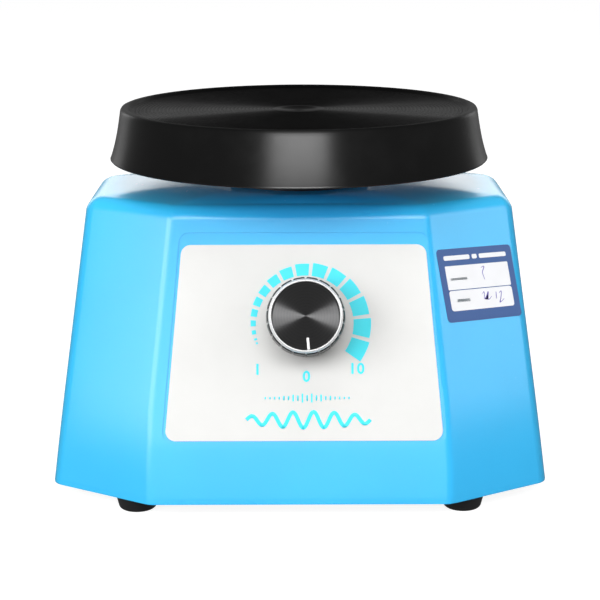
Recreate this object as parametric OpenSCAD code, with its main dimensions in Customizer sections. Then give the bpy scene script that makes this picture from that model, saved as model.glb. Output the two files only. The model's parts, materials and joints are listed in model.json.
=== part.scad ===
/* [Housing] */
// Width of the housing at its foot, side to side
body_w = 165; // [130:1:210]
// Depth of the housing at its foot, front to back
body_d = 132; // [108:1:170]
// Height of the housing from its lower rim to the shoulder edge
body_h = 93; // [76:1:120]
// Width of the front and rear faces at the foot
face_w = 97.4; // [86:0.2:125]
// Height of the steeper band along the foot
band_h = 20.5; // [12:0.5:26]
// Lean of the lower band from vertical, degrees
band_lean = 13; // [10:0.5:15]
// Lean of the dial panel from vertical, degrees
panel_lean = 16.5; // [14:0.5:18]
// Lean of the two side walls from vertical, degrees
side_lean = 7; // [4:0.5:9]
// Inward slope of the upright edges of the front face, degrees
face_taper = 5.9; // [4:0.1:7]
// Angle in plan between the front face and a corner face, degrees
corner_angle = 31.3; // [26:0.1:36]
// Radius of the upright edges
edge_r = 6; // [3:0.5:8]
// Radius of the shoulder between walls and top
shoulder_r = 6; // [4:0.5:9]
// Rise of the top from the shoulder edge to the stem collar
crown_h = 2; // [1:0.5:4]
// Radius of the flat collar around the stem
crown_r = 30; // [27:1:34]
// Moulded wall thickness
wall = 2.5; // [2:0.1:3]

/* [Feet and base] */
// Height of the rubber feet
foot_h = 5; // [4:0.5:8]
// Diameter of a foot where it meets the base
foot_d = 14.5; // [12:0.5:16]
// Diameter of a foot where it meets the table
foot_tip_d = 12; // [10:0.5:13]
// Distance of a foot's centre from the front face at the foot of the housing
foot_inset = 12.3; // [10.5:0.1:15]
// Distance of a foot's centre outside the upright edge of the front face
foot_out = 4.8; // [2:0.1:6]
// Thickness of the steel base plate
plate_t = 1.5; // [1:0.1:2.5]

/* [Dial] */
// Distance of the dial from the centre line
dial_x = 2; // [0:0.5:4]
// Distance up the panel from the band edge to the dial axis
dial_up = 39.6; // [34:0.1:44]
// Knob diameter at its skirt
knob_d = 25.6; // [23:0.1:26.4]
// Knob height above the panel
knob_h = 14; // [12:0.5:18]
// Width of the bright ring's face
ring_w = 0.9; // [0.6:0.1:1.5]
// Diameter of the control shaft
shaft_d = 6; // [5:0.1:6.4]
// Inner radius of the printed scale
scale_r = 15.5; // [15.4:0.1:17]
// Distance of the scale's centre below the dial axis
scale_drop = 2; // [0:0.1:2]
// Number of printed scale marks
scale_n = 16; // [8:1:20]
// Angle of the first mark about the scale's centre, degrees clockwise from straight down
scale_from = 68; // [50:1:75]
// Angle of the last mark about the scale's centre
scale_to = 296; // [280:1:305]
// Angle of the pointer at rest, degrees towards the right of straight down
pointer_rest = 4.8; // [0:0.2:8]

/* [Label] */
// Thickness of the panel label
label_t = 0.4; // [0.3:0.1:0.8]
// Height of the label
label_h = 63.4; // [61:0.2:66]
// Width of the label at its top
label_top_w = 79; // [70:0.5:80]
// Width of the label at its foot
label_foot_w = 90; // [84:0.5:91]
// Gap between the label's foot and the band edge, less than 0 where the foot reaches over the edge
label_gap = -0.3; // [-1:0.1:2]

/* [Table] */
// Outer diameter of the rubber tray at its lower edge
tray_d = 130; // [122:1:150]
// Outer diameter of the tray at its lip
tray_top_d = 122; // [119:1:123]
// Height of the tray
tray_h = 17.7; // [15:0.1:21]
// Height of the lip above the tray's floor
lip_h = 1.2; // [0.8:0.1:2]
// Width of the lip
lip_w = 3.2; // [2.4:0.1:4]
// Thickness of the tray's floor
floor_t = 5; // [4.6:0.1:6]
// Gap between the housing collar and the tray's lower edge
tray_gap = 8; // [6:0.5:12]
// Diameter of the steel table disc under the tray
disc_d = 112; // [100:1:113]
// Thickness of the table disc
disc_t = 3; // [2:0.5:4]
// Diameter of the stem
stem_d = 18; // [15:0.5:20]
// Travel of the table each way
stroke = 0.8; // [0.3:0.1:1]

/* [Magnet] */
// Width of the laminated core
core_w = 48; // [42:1:54]
// Stack depth of the laminated core
core_d = 32; // [26:1:38]
// Height of the laminated core
core_h = 37; // [35:1:40]
// Air gap between the core and the armature
air_gap = 1.5; // [1.2:0.1:2.5]
// Thickness of the armature
armature_t = 6; // [4:0.5:8]
// Height of the rubber mounts
mount_h = 20; // [14:1:24]
// Diameter of the rubber mounts
mount_d = 16; // [13:0.5:18]
// Spacing of the rubber mounts, side to side
mount_dx = 88; // [76:1:96]
// Spacing of the rubber mounts, front to back
mount_dy = 44; // [40:1:50]

/* [Rear] */
// Bore of the cord gland
gland_bore_d = 6.5; // [5:0.1:8]
// Distance of the gland from the centre line
gland_x = 29; // [20:1:36]
// Diameter of the fuse cap
fuse_cap_d = 13; // [11:0.5:15]
// Distance of the fuse holder from the centre line
fuse_x = 26; // [16:1:32]

/* [Hidden] */
$fn = 64;
eps = 0.01;
fit = 0.05;
clear = 0.3;
base_z = foot_h;
kink_z = base_z + band_h;
top_z = base_z + body_h;
arc_start = panel_lean;
shoulder_z = top_z - shoulder_r * (1 - sin(arc_start));
collar_z = top_z + crown_h;
// heights of the magnet stack, from the base plate up
floor_z = base_z + plate_t;
bracket_t = 2.5;
core_z = floor_z + bracket_t;
yoke_h = 10;
core_top = core_z + core_h;
armature_z = core_top + air_gap;
carrier_t = 3;
carrier_z = armature_z + armature_t;
carrier_top = carrier_z + carrier_t;
pillar_h = carrier_z - mount_h - floor_z;
pillar_d = 12;
// heights of the table, from the collar up
tray_z = collar_z + tray_gap;
tray_top = tray_z + tray_h;
tray_floor = tray_top - lip_h;
disc_z = tray_floor - floor_t - disc_t;
stem_flange_t = 3;
stem_flange_d = 32;
boot_top = collar_z + tray_gap - 1;
// panel frame
panel_back = wall * cos(panel_lean);
dial_z = kink_z + dial_up * cos(panel_lean);
label_low = label_gap - dial_up;
label_shift = dial_x - 0.6;
label_r = 3.2;
pocket_t = 0.3;
washer_t = 0.5;
nut_t = 2;
knob_low = 1;
ring_h = 1.5;
knob_step = knob_h - ring_h;
ring_r = knob_d / 2 - 0.95;
cap_r = ring_r - ring_w - fit;
bushing_r = 3.5;
pot_r = 12;
pot_l = 12;
shaft_low = -panel_back - pot_l + 1;
// control board
board_w = 60;
board_d = 24;
board_t = 1.6;
board_z = floor_z + 6;
board_y = -42;
board_top = board_z + board_t;
board_dx = 54;
board_dy = 18;
// screws
m3 = 1.5;
m4 = 2;
m6 = 3;
screw_core = 0.02;
gland_z = 8;
fuse_z = 22;
vent_n = 7;
vent_pitch = 6.5;
foot_x = face_w / 2 + foot_out;
foot_y = body_d / 2 - foot_inset;
lead_r = 0.9;
// inside of the housing
boss_h = 8;
boss_r = 4.5;
stem_hole_r = stem_d / 2 + 5;
gland_r = 6;
gland_flange_t = 2.4;
holder_r = 5.5;
// label, sticker and pointer
pocket_top = 4;
pocket_side = 1;
label_face = label_t - pocket_t;
sticker_w = 30;
sticker_h = 24;
sticker_along = 17.9;
sticker_z = 71.8;
corner_lean = atan((corner_off(kink_z) - corner_off(shoulder_z)) / (shoulder_z - kink_z));
shaft_top = knob_h - 4;
set_z = knob_low + 5.5;
pointer_in = 6.8;
pointer_w = 0.75;
// magnet, coil and carrier
ear_x = core_w / 2 + 15;
foot_tab_dx = core_w + 20;
foot_tab_dy = 20;
bolt_grip = core_w / 2 + 0.1 + bracket_t;
leg_w = 8;
middle_w = 16;
window_w = (core_w - middle_w) / 2 - leg_w;
bobbin_low = core_z + yoke_h + 0.3;
bobbin_h = core_h - yoke_h - 1;
bobbin_t = 1;
bobbin_x = middle_w / 2 + 0.2;
bobbin_y = core_d / 2 + 0.2;
winding_t = window_w - 0.2 - bobbin_t - 0.6;
armature_dx = core_w - 7;
stem_screw_r = 12.6;
// boot and tray floor
boot_t = 1.2;
ring_n = 18;
ring_pitch = 2.6;
groove = 0.4;

// half depth of the housing at height z
function depth_at(z) = z <= kink_z ? body_d / 2 - (z - base_z) * tan(band_lean)
    : body_d / 2 - band_h * tan(band_lean) - (z - kink_z) * tan(panel_lean);
// half width of the housing at height z
function side_at(z) = body_w / 2 - (z - base_z) * tan(side_lean);
// half width of the front face at height z
function face_at(z) = face_w / 2 - max(0, z - kink_z) * tan(face_taper);
// where the corner face meets the side wall at height z
function corner_y(z) = depth_at(z) - (side_at(z) - face_at(z)) * tan(corner_angle);
// distance of the corner face from the axis at height z
function corner_off(z) = face_at(z) * sin(corner_angle) + depth_at(z) * cos(corner_angle);
function corners(z) = [for (m = [[1, 1], [-1, 1], [-1, -1], [1, -1]])
    for (k = m[0] * m[1] > 0 ? [0, 1] : [1, 0])
        k == 0 ? [m[0] * side_at(z), m[1] * corner_y(z)] : [m[0] * face_at(z), m[1] * depth_at(z)]];

module slice(z, inset) {
    translate([0, 0, z]) linear_extrude(eps)
        offset(r = edge_r, $fn = 32) offset(delta = -edge_r - inset) polygon(corners(z));
}

// closed form of the housing, drawn in by inset at the walls and lowered by drop at the top
module body_form(inset, drop, low_z) {
    hull() {
        slice(low_z, inset);
        slice(kink_z, inset);
        for (a = [arc_start : (90 - arc_start) / 5 : 90])
            translate([0, 0, shoulder_r * (sin(a) - sin(arc_start))])
                slice(shoulder_z - drop, inset + shoulder_r * (cos(arc_start) - cos(a)));
        translate([0, 0, collar_z - drop - eps]) cylinder(h = eps, r = crown_r);
    }
}

// frame of the front panel: origin on the dial axis, Z out of the panel, Y up along it
module on_panel() {
    translate([dial_x, -depth_at(dial_z), dial_z]) rotate([90 - panel_lean, 0, 0]) children();
}

// frame of the lower rear band: origin on its face, Z out of it, Y up along it
module on_rear_band(x, z) {
    translate([x, depth_at(base_z + z), base_z + z])
        rotate([0, 0, 180]) rotate([90 - band_lean, 0, 0]) children();
}

// frame of the upper rear face
module on_rear(x, z) {
    translate([x, depth_at(kink_z + z), kink_z + z])
        rotate([0, 0, 180]) rotate([90 - panel_lean, 0, 0]) children();
}

// frame of the right corner face above the band: Z out of it, Y up along it
module on_corner(along, z) {
    x = face_at(z) + along * cos(corner_angle);
    y = -depth_at(z) + along * sin(corner_angle);
    translate([x, y, z]) rotate([0, 0, corner_angle]) rotate([90 - corner_lean, 0, 0])
        children();
}

module rounded_plate(w, d, t, r) {
    linear_extrude(t) offset(r = r, $fn = 32) offset(delta = -r) square([w, d], center = true);
}

module pair_x(dx) {
    for (s = [-1, 1]) translate([s * dx / 2, 0, 0]) children();
}

module grid(dx, dy) {
    for (sx = [-1, 1], sy = [-1, 1]) translate([sx * dx / 2, sy * dy / 2, 0]) children();
}

// pan-head screw: head above z = 0, shank below
module screw(r, length, head_r, head_h) {
    difference() {
        cylinder(h = head_h, r = head_r);
        for (a = [0, 90]) rotate([0, 0, a])
            translate([-head_r * 0.55, -r * 0.18, head_h * 0.5])
                cube([head_r * 1.1, r * 0.36, head_h]);
    }
    translate([0, 0, -length]) cylinder(h = length + eps, r = r);
}

module hex_nut(r, bore_r, t) {
    difference() {
        cylinder(h = t, r = r, $fn = 6);
        translate([0, 0, -1]) cylinder(h = t + 2, r = bore_r);
    }
}

module tube(h, r, bore) {
    difference() {
        cylinder(h = h, r = r);
        translate([0, 0, -1]) cylinder(h = h + 2, r = bore);
    }
}

module housing() {
    color("#50bee9") difference() {
        body_form(0, 0, base_z);
        difference() {
            body_form(wall, wall, base_z - 1);
            // bosses stay standing inside the cavity
            translate([0, 0, floor_z]) grid(2 * foot_x, 2 * foot_y)
                cylinder(h = boss_h, r = boss_r);
        }
        translate([0, 0, floor_z - 1]) grid(2 * foot_x, 2 * foot_y)
            cylinder(h = boss_h, r = m3 + screw_core);
        // stem opening
        translate([0, 0, collar_z - 2 * wall]) cylinder(h = 4 * wall, r = stem_hole_r);
        // label pocket and shaft hole
        on_panel() label_form(pocket_top, pocket_side, 1, -pocket_t);
        on_panel() translate([0, 0, -2 * wall]) cylinder(h = 3 * wall, r = bushing_r + clear);
        on_rear(-gland_x, gland_z) translate([0, 0, -2 * wall])
            cylinder(h = 3 * wall, r = gland_r + fit);
        on_rear(fuse_x, fuse_z) translate([0, 0, -2 * wall])
            cylinder(h = 3 * wall, r = holder_r + fit);
        for (i = [0 : vent_n - 1])
            on_rear(-gland_x + (i - (vent_n - 1) / 2) * vent_pitch, fuse_z + 14)
                translate([-1.25, -11, -2 * wall]) cube([2.5, 22, 4 * wall]);
    }
}

// trapezium with round corners on the panel, grown by the margins given
module label_form(more_top, more_side, thick, z) {
    low = label_low - more_side / 2;
    high = label_low + label_h + more_top;
    slope = (label_foot_w - label_top_w) / 2 / label_h;
    foot = label_foot_w / 2 + more_side + (more_side / 2) * slope;
    head = label_foot_w / 2 + more_side - (high - label_low) * slope;
    translate([label_shift - dial_x, 0, z]) linear_extrude(thick)
        offset(r = label_r, $fn = 32) offset(delta = -label_r)
            polygon([[-foot, low], [foot, low], [head, high], [-head, high]]);
}

module base_plate() {
    color("#5a5f63") difference() {
        intersection() {
            body_form(wall + clear, wall, base_z - 1);
            translate([-body_w, -body_d, base_z]) cube([2 * body_w, 2 * body_d, plate_t]);
        }
        translate([0, 0, base_z - 1]) {
            grid(2 * foot_x, 2 * foot_y) cylinder(h = plate_t + 2, r = m3 + 0.2);
            grid(foot_tab_dx, foot_tab_dy) cylinder(h = plate_t + 2, r = m4 + screw_core);
            grid(mount_dx, mount_dy) cylinder(h = plate_t + 2, r = m4 + 0.2);
            translate([0, board_y, 0]) grid(board_dx, board_dy)
                cylinder(h = plate_t + 2, r = m3 + screw_core);
            // cooling slots
            for (i = [-2 : 2]) translate([i * 10 - 1.5, body_d / 2 - 36, 0])
                cube([3, 18, plate_t + 2]);
        }
    }
}

module foot(sx, sy) {
    color("#1b1b1c") translate([sx * foot_x, sy * foot_y, 0]) difference() {
        rotate_extrude() polygon([[0, 0], [foot_tip_d / 2 - 1.2, 0], [foot_tip_d / 2 - 0.3, 0.4],
            [foot_tip_d / 2, 1.2], [foot_d / 2, foot_h - 0.6], [foot_d / 2, foot_h], [0, foot_h]]);
        translate([0, 0, -1]) cylinder(h = foot_h + 2, r = m3 + 0.1);
        translate([0, 0, -1]) cylinder(h = 3.2, r = 3.3);
    }
}

module foot_screws() {
    color("#b9bcc0") grid(2 * foot_x, 2 * foot_y)
        translate([0, 0, 2.2]) rotate([180, 0, 0]) screw(m3, floor_z + boss_h - 3.5, 2.8, 1.6);
}

module panel_label() {
    color("#fafaf8") difference() {
        on_panel() label_form(0, 0, label_t, -pocket_t);
        on_panel() translate([0, 0, -2]) cylinder(h = 4, r = bushing_r + clear);
    }
}

module scale_marks() {
    span = scale_to - scale_from;
    gap = 3.3;
    function mark_at(i) = scale_from + span * pow(i / (scale_n - 1), 1.45);
    color("#5ed8f2") on_panel() translate([0, -scale_drop, label_face]) for (i = [0 : scale_n - 1]) {
        step = i == 0 ? mark_at(1) - mark_at(0) : mark_at(i) - mark_at(i - 1);
        grown = 0.6 + 0.36 * i;
        inner = scale_r + max(0, 6 - i) * 0.2;
        sweep = step - min(gap, step * 0.5);
        rotate([0, 0, -90 - mark_at(i) - sweep / 2])
            rotate_extrude(angle = sweep) translate([inner, 0]) square([grown, 0.12]);
    }
}

module inspection_sticker() {
    color("#ffffff") on_corner(sticker_along, sticker_z) translate([0, 0, 0.02])
        rounded_plate(sticker_w, sticker_h, 0.25, 1.2);
}

module rating_plate() {
    color("#c9ccd0") on_rear_band(0, band_h / 2) translate([0, 0, 0.02])
        rounded_plate(46, 14, 0.3, 1);
}

module knob_body() {
    color("#161617") on_panel() difference() {
        translate([0, 0, knob_low]) rotate_extrude(convexity = 4) polygon([
            [0, 0], [knob_d / 2 - 0.3, 0], [knob_d / 2, 0.3], [knob_d / 2 - 0.35, knob_step - 1.8],
            [ring_r, knob_step - knob_low], [0, knob_step - knob_low]]);
        // grip grooves
        for (a = [0 : 20 : 340]) rotate([0, 0, a])
            translate([knob_d / 2 - 0.5, -0.35, knob_low - 1]) cube([2, 0.7, knob_h]);
        translate([0, 0, knob_low - 1]) cylinder(h = 1 + nut_t + 1, r = 7.5);
        translate([0, 0, knob_low]) cylinder(h = shaft_top - knob_low, r = shaft_d / 2 + 0.02);
        // radial hole for the set screw
        translate([0, 0, set_z]) rotate([-90, 0, 0]) cylinder(h = knob_d, r = m3 + screw_core);
    }
}

module knob_ring() {
    color("#d7dadd") on_panel() translate([0, 0, knob_step + eps])
        difference() {
            rotate_extrude() polygon([[0, 0], [ring_r, 0], [ring_r, ring_h - 0.4],
                [ring_r - 0.3, ring_h], [0, ring_h]]);
            translate([0, 0, -1]) cylinder(h = ring_h + 2, r = ring_r - ring_w);
        }
}

module knob_cap() {
    color("#202124") on_panel() translate([0, 0, knob_step + eps]) difference() {
        cylinder(h = ring_h - 0.3, r = cap_r);
        pointer_form(fit);
    }
}

module pointer_form(more) {
    rotate([0, 0, pointer_rest]) translate([-pointer_w / 2 - more, -cap_r - more, ring_h - 0.9 - more])
        cube([pointer_w + 2 * more, cap_r - pointer_in + 2 * more, 0.65 + 2 * more]);
}

module knob_pointer() {
    color("#ffffff") on_panel() translate([0, 0, knob_step + eps]) pointer_form(0);
}

module knob_set_screw() {
    color("#9a9da1") on_panel() translate([0, 0, set_z]) rotate([-90, 0, 0]) difference() {
        translate([0, 0, shaft_d / 2 + 0.02]) cylinder(h = 6, r = m3);
        translate([0, 0, shaft_d / 2 + 4.5]) cylinder(h = 3, r = 0.8, $fn = 6);
    }
}

module pot_shaft() {
    color("#c2c5c9") on_panel() translate([0, 0, shaft_low])
        cylinder(h = shaft_top - shaft_low - 0.1, r = shaft_d / 2);
}

module pot_body() {
    color("#7d8186") on_panel() difference() {
        union() {
            translate([0, 0, -panel_back - pot_l]) cylinder(h = pot_l - 0.1, r = pot_r);
            translate([0, 0, -panel_back - 1]) cylinder(h = panel_back + 4, r = bushing_r);
            // three solder tags
            for (s = [-1, 0, 1]) translate([s * 4 - 1, -pot_r - 4, -panel_back - 6])
                cube([2, 5, 0.6]);
        }
        translate([0, 0, shaft_low - 0.3]) cylinder(h = 40, r = shaft_d / 2 + fit);
    }
}

module pot_washer() {
    color("#b7babd") on_panel() translate([0, 0, label_face + 0.02])
        tube(washer_t, 6, bushing_r + fit);
}

module pot_nut() {
    color("#caa85a") on_panel() translate([0, 0, label_face + washer_t + 0.04])
        hex_nut(5.6, bushing_r + 0.02, nut_t);
}

module control_board() {
    color("#2d7a43") difference() {
        translate([-board_w / 2, board_y - board_d / 2, board_z]) cube([board_w, board_d, board_t]);
        translate([0, board_y, board_z - 1]) grid(board_dx, board_dy) cylinder(h = 4, r = m3 + 0.1);
    }
}

module board_standoffs() {
    color("#c9b26a") translate([0, board_y, floor_z]) grid(board_dx, board_dy)
        tube(board_z - floor_z, 2.8, m3 + 0.1);
}

module board_screws() {
    color("#b9bcc0") translate([0, board_y, board_top]) grid(board_dx, board_dy)
        screw(m3, board_top - base_z - 0.2, 2.7, 1.8);
}

module triac() {
    color("#1f2022") translate([-20, board_y + 2, board_top]) {
        translate([-5, 0, 3]) cube([10, 4.4, 11]);
        for (s = [-1, 0, 1]) translate([s * 2.5 - 0.4, 1.9, 0]) cube([0.8, 0.6, 3.1]);
    }
}

module heat_sink() {
    color("#a9adb2") translate([-20, board_y + 2 - 0.05, board_top]) {
        translate([-9, -2, 0]) cube([18, 2, 20]);
        for (i = [-2 : 2]) translate([i * 4.2 - 0.6, -6, 0]) cube([1.2, 4.1, 20]);
    }
}

module capacitor() {
    color("#c8a13a") translate([-6, board_y - 6, board_top]) cube([16, 8, 12]);
}

module terminal_block() {
    color("#3a8f5b") translate([0, board_y, board_top]) difference() {
        translate([12, -5, 0]) cube([11.5, 10, 9]);
        for (i = [0, 1]) translate([15 + i * 5.5, 0, 4]) cylinder(h = 6, r = 1.6);
        for (i = [0, 1]) translate([15 + i * 5.5, 4, 3]) rotate([90, 0, 0])
            cylinder(h = 20, r = 1.4);
    }
}

module magnet_bracket() {
    color("#8d9196") difference() {
        union() {
            translate([-ear_x, -core_d / 2, floor_z]) cube([2 * ear_x, core_d, bracket_t]);
            for (s = [0, 1]) mirror([s, 0, 0])
                translate([core_w / 2 + 0.1, -core_d / 2, floor_z])
                    cube([bracket_t, core_d, bracket_t + yoke_h]);
        }
        translate([0, 0, floor_z - 1]) grid(foot_tab_dx, foot_tab_dy)
            cylinder(h = bracket_t + 2, r = m4 + 0.1);
        core_bolt_holes(m4 + 0.1);
    }
}

module core_bolt_holes(r) {
    for (s = [-1, 1]) translate([-body_w / 2, s * core_d / 4, core_z + yoke_h / 2])
        rotate([0, 90, 0]) cylinder(h = body_w, r = r);
}

module bracket_screws() {
    color("#b9bcc0") translate([0, 0, core_z]) grid(foot_tab_dx, foot_tab_dy)
        screw(m4, bracket_t + plate_t - 0.1, 3.6, 2.4);
}

module magnet_core() {
    color("#6d7075") difference() {
        translate([-core_w / 2, -core_d / 2, core_z + 0.02]) cube([core_w, core_d, core_h]);
        for (s = [0, 1]) mirror([s, 0, 0])
            translate([middle_w / 2, -core_d, core_z + yoke_h]) cube([window_w, 2 * core_d, core_h]);
        core_bolt_holes(m4 + 0.1);
    }
}

module core_bolts() {
    color("#b9bcc0") for (s = [-1, 1])
        translate([bolt_grip, s * core_d / 4, core_z + yoke_h / 2])
            rotate([0, 90, 0]) screw(m4, 2 * bolt_grip + 4.5, 3.4, 2.6);
}

module core_nuts() {
    color("#b9bcc0") for (s = [-1, 1])
        translate([-bolt_grip - 0.02, s * core_d / 4, core_z + yoke_h / 2])
            rotate([0, -90, 0]) hex_nut(4, m4 + 0.02, 3);
}

module ring_box(x, y, thick, z, h) {
    translate([0, 0, z]) difference() {
        translate([-x - thick, -y - thick, 0]) cube([2 * (x + thick), 2 * (y + thick), h]);
        translate([-x, -y, -1]) cube([2 * x, 2 * y, h + 2]);
    }
}

module coil_bobbin() {
    color("#e8e2cf") {
        ring_box(bobbin_x, bobbin_y, bobbin_t, bobbin_low, bobbin_h);
        for (z = [bobbin_low, bobbin_low + bobbin_h - 1.2])
            ring_box(bobbin_x, bobbin_y, bobbin_t + winding_t, z, 1.2);
    }
}

module coil_winding() {
    color("#b5652b") ring_box(bobbin_x + bobbin_t + fit, bobbin_y + bobbin_t + fit,
        winding_t - 0.3, bobbin_low + 1.25, bobbin_h - 2.5);
}

module pillars() {
    color("#9aa0a6") translate([0, 0, floor_z]) grid(mount_dx, mount_dy)
        tube(pillar_h, pillar_d / 2, m4 + 0.1);
}

module pillar_screws() {
    color("#b9bcc0") grid(mount_dx, mount_dy) translate([0, 0, base_z])
        rotate([180, 0, 0]) screw(m4, plate_t + pillar_h - 2, 3.6, 2.4);
}

module rubber_mounts() {
    color("#1d1d1f") translate([0, 0, floor_z + pillar_h]) grid(mount_dx, mount_dy)
        rotate_extrude() polygon([[0, 0], [mount_d / 2, 0], [mount_d / 2, 2],
            [mount_d / 2 - 1.6, mount_h / 2], [mount_d / 2, mount_h - 2],
            [mount_d / 2, mount_h], [0, mount_h]]);
}

module carrier_plate() {
    color("#a4a9ae") translate([0, 0, carrier_z]) difference() {
        rounded_plate(mount_dx + 20, mount_dy + 16, carrier_t, 6);
        grid(mount_dx, mount_dy) translate([0, 0, -1]) cylinder(h = carrier_t + 2, r = m4 + 0.1);
        pair_x(armature_dx) translate([0, 0, -1]) cylinder(h = carrier_t + 2, r = m4 + 0.1);
        for (a = [30 : 120 : 270]) rotate([0, 0, a]) translate([stem_screw_r, 0, -1])
            cylinder(h = carrier_t + 2, r = m3 + screw_core);
    }
}

module carrier_nuts() {
    color("#b9bcc0") translate([0, 0, carrier_top + 0.02]) grid(mount_dx, mount_dy) {
        cylinder(h = 3.2, r = 4.2, $fn = 6);
        translate([0, 0, -carrier_t]) cylinder(h = carrier_t + 5.5, r = m4);
    }
}

module armature_plate() {
    color("#74787d") translate([0, 0, armature_z]) difference() {
        translate([-core_w / 2, -core_d / 2, 0]) cube([core_w, core_d, armature_t - 0.02]);
        pair_x(armature_dx) cylinder(h = armature_t * 2, r = m4 + screw_core);
    }
}

module armature_screws() {
    color("#b9bcc0") translate([0, 0, carrier_top + 0.02]) pair_x(armature_dx)
        screw(m4, carrier_t + armature_t - 1, 3.4, 2.4);
}

module table_stem() {
    color("#c3c7cb") difference() {
        translate([0, 0, carrier_top + 0.02]) {
            cylinder(h = disc_z - carrier_top - 0.04, r = stem_d / 2);
            difference() {
                cylinder(h = stem_flange_t, r = stem_flange_d / 2);
                for (a = [30 : 120 : 270]) rotate([0, 0, a]) translate([stem_screw_r, 0, -1])
                    cylinder(h = stem_flange_t + 2, r = m3 + 0.1);
            }
        }
        translate([0, 0, disc_z - 16]) cylinder(h = 20, r = m6 + screw_core);
    }
}

module stem_screws() {
    color("#b9bcc0") translate([0, 0, carrier_top + stem_flange_t + 0.04])
        for (a = [30 : 120 : 270]) rotate([0, 0, a]) translate([stem_screw_r, 0, 0])
            screw(m3, stem_flange_t + carrier_t - 0.2, 2.7, 1.8);
}

module table_disc() {
    color("#b4b8bc") translate([0, 0, disc_z]) tube(disc_t, disc_d / 2, m6 + 0.2);
}

module table_screw() {
    color("#b9bcc0") translate([0, 0, disc_z + disc_t + 0.02]) screw(m6, disc_t + 14, 5.5, 3.2);
}

module dust_boot() {
    color("#1d1d1f") rotate_extrude() polygon([
        [stem_hole_r - 1, collar_z + 0.02], [crown_r - 6, collar_z + 0.02],
        [crown_r - 6, collar_z + 1.4], [stem_hole_r + 3, collar_z + 1.8],
        [stem_d / 2 + 4, boot_top - 2.6], [stem_d / 2 + 2, boot_top - 2], [stem_d / 2 + 2, boot_top],
        [stem_d / 2 + fit, boot_top], [stem_d / 2 + fit, boot_top - 3],
        [stem_d / 2 + 3, boot_top - 3 - boot_t], [stem_hole_r - 1, collar_z + 1.4]]);
}

module tray() {
    lip_r = tray_top_d / 2;
    floor_r = lip_r - lip_w;
    disc_r = disc_d / 2 + clear;
    under = tray_floor - floor_t;
    color("#141415") rotate_extrude(convexity = 6) difference() {
        polygon([[0, under], [disc_r, under], [disc_r, disc_z - 0.5], [tray_d / 2 - 3.4, tray_z],
            [tray_d / 2 - 0.4, tray_z], [tray_d / 2, tray_z + 0.5],
            [tray_d / 2 - 0.5, tray_z + 2.2], [lip_r + 1.2, tray_z + tray_h * 0.5],
            [lip_r, tray_top - 0.5], [lip_r - 0.6, tray_top], [lip_r - 1.6, tray_top],
            [floor_r, tray_floor], [0, tray_floor]]);
        // screw head recess
        translate([-1, under - 1]) square([7.5, 4.4]);
        // dimple and fine rings of the floor
        translate([-1, tray_floor - 0.6]) square([5, 2]);
        for (i = [0 : ring_n - 1]) translate([9 + i * ring_pitch, tray_floor - groove])
            square([ring_pitch * 0.4, 1]);
    }
}

module cord_gland() {
    color("#1b1b1c") on_rear(-gland_x, gland_z) difference() {
        union() {
            translate([0, 0, 0.02]) cylinder(h = gland_flange_t, r = 8.5);
            translate([0, 0, -wall - 7]) cylinder(h = wall + 8, r = gland_r);
        }
        translate([0, 0, -20]) cylinder(h = 40, r = gland_bore_d / 2);
    }
}

module gland_nut() {
    color("#1b1b1c") on_rear(-gland_x, gland_z)
        translate([0, 0, -panel_back - 4.1]) hex_nut(8.6, gland_r + 0.02, 4);
}

module fuse_holder() {
    color("#1b1b1c") on_rear(fuse_x, fuse_z) difference() {
        union() {
            translate([0, 0, 0.02]) cylinder(h = 1.6, r = 7.5);
            translate([0, 0, -28]) cylinder(h = 28.5, r = holder_r);
        }
        translate([0, 0, -26]) cylinder(h = 40, r = 4.2);
    }
}

module fuse_nut() {
    color("#1b1b1c") on_rear(fuse_x, fuse_z) translate([0, 0, -panel_back - 3.1])
        hex_nut(8, holder_r + 0.02, 3);
}

module fuse_cap() {
    color("#161617") on_rear(fuse_x, fuse_z) difference() {
        union() {
            translate([0, 0, 1.75]) cylinder(h = 5, r = fuse_cap_d / 2);
            translate([0, 0, -6]) cylinder(h = 7.8, r = 4.2 - fit);
        }
        for (a = [0 : 15 : 345]) rotate([0, 0, a]) translate([fuse_cap_d / 2 + 0.2, 0, 1])
            cylinder(h = 8, r = 0.6, $fn = 16);
        translate([-4, -0.6, 5.6]) cube([8, 1.2, 3]);
        translate([0, 0, -7]) cylinder(h = 6, r = 3.2);
    }
}

module fuse() {
    color("#e3e6e8") on_rear(fuse_x, fuse_z) translate([0, 0, -25.5]) {
        cylinder(h = 20, r = 2.6);
        cylinder(h = 5, r = 2.75);
        translate([0, 0, 15]) cylinder(h = 5, r = 2.75);
    }
}

// smooth run through a hand-chosen route, one Bezier arc per inner point
function along(p, q, t) = p + (q - p) * t;
function arc_point(p, c, q, t) = along(along(p, c, t), along(c, q, t), t);
function smooth_route(p) = [p[0], for (i = [1 : len(p) - 2]) for (t = [0 : 0.25 : 1])
    arc_point(along(p[i - 1], p[i], i == 1 ? 0.5 : 0.55), p[i],
        along(p[i], p[i + 1], i == len(p) - 2 ? 0.5 : 0.45), t), p[len(p) - 1]];
function unit(v) = v / norm(v);
function heading(p, i) = unit(p[min(i + 1, len(p) - 1)] - p[max(i - 1, 0)]);
function sideways(h) = unit(cross(h, abs(h[2]) > 0.9 ? [1, 0, 0] : [0, 0, 1]));
function levelled(c, h) = unit(c - h * (c * h));
function carried(p, i, s) = i == 0 ? s : levelled(carried(p, i - 1, s), heading(p, i));

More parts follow.
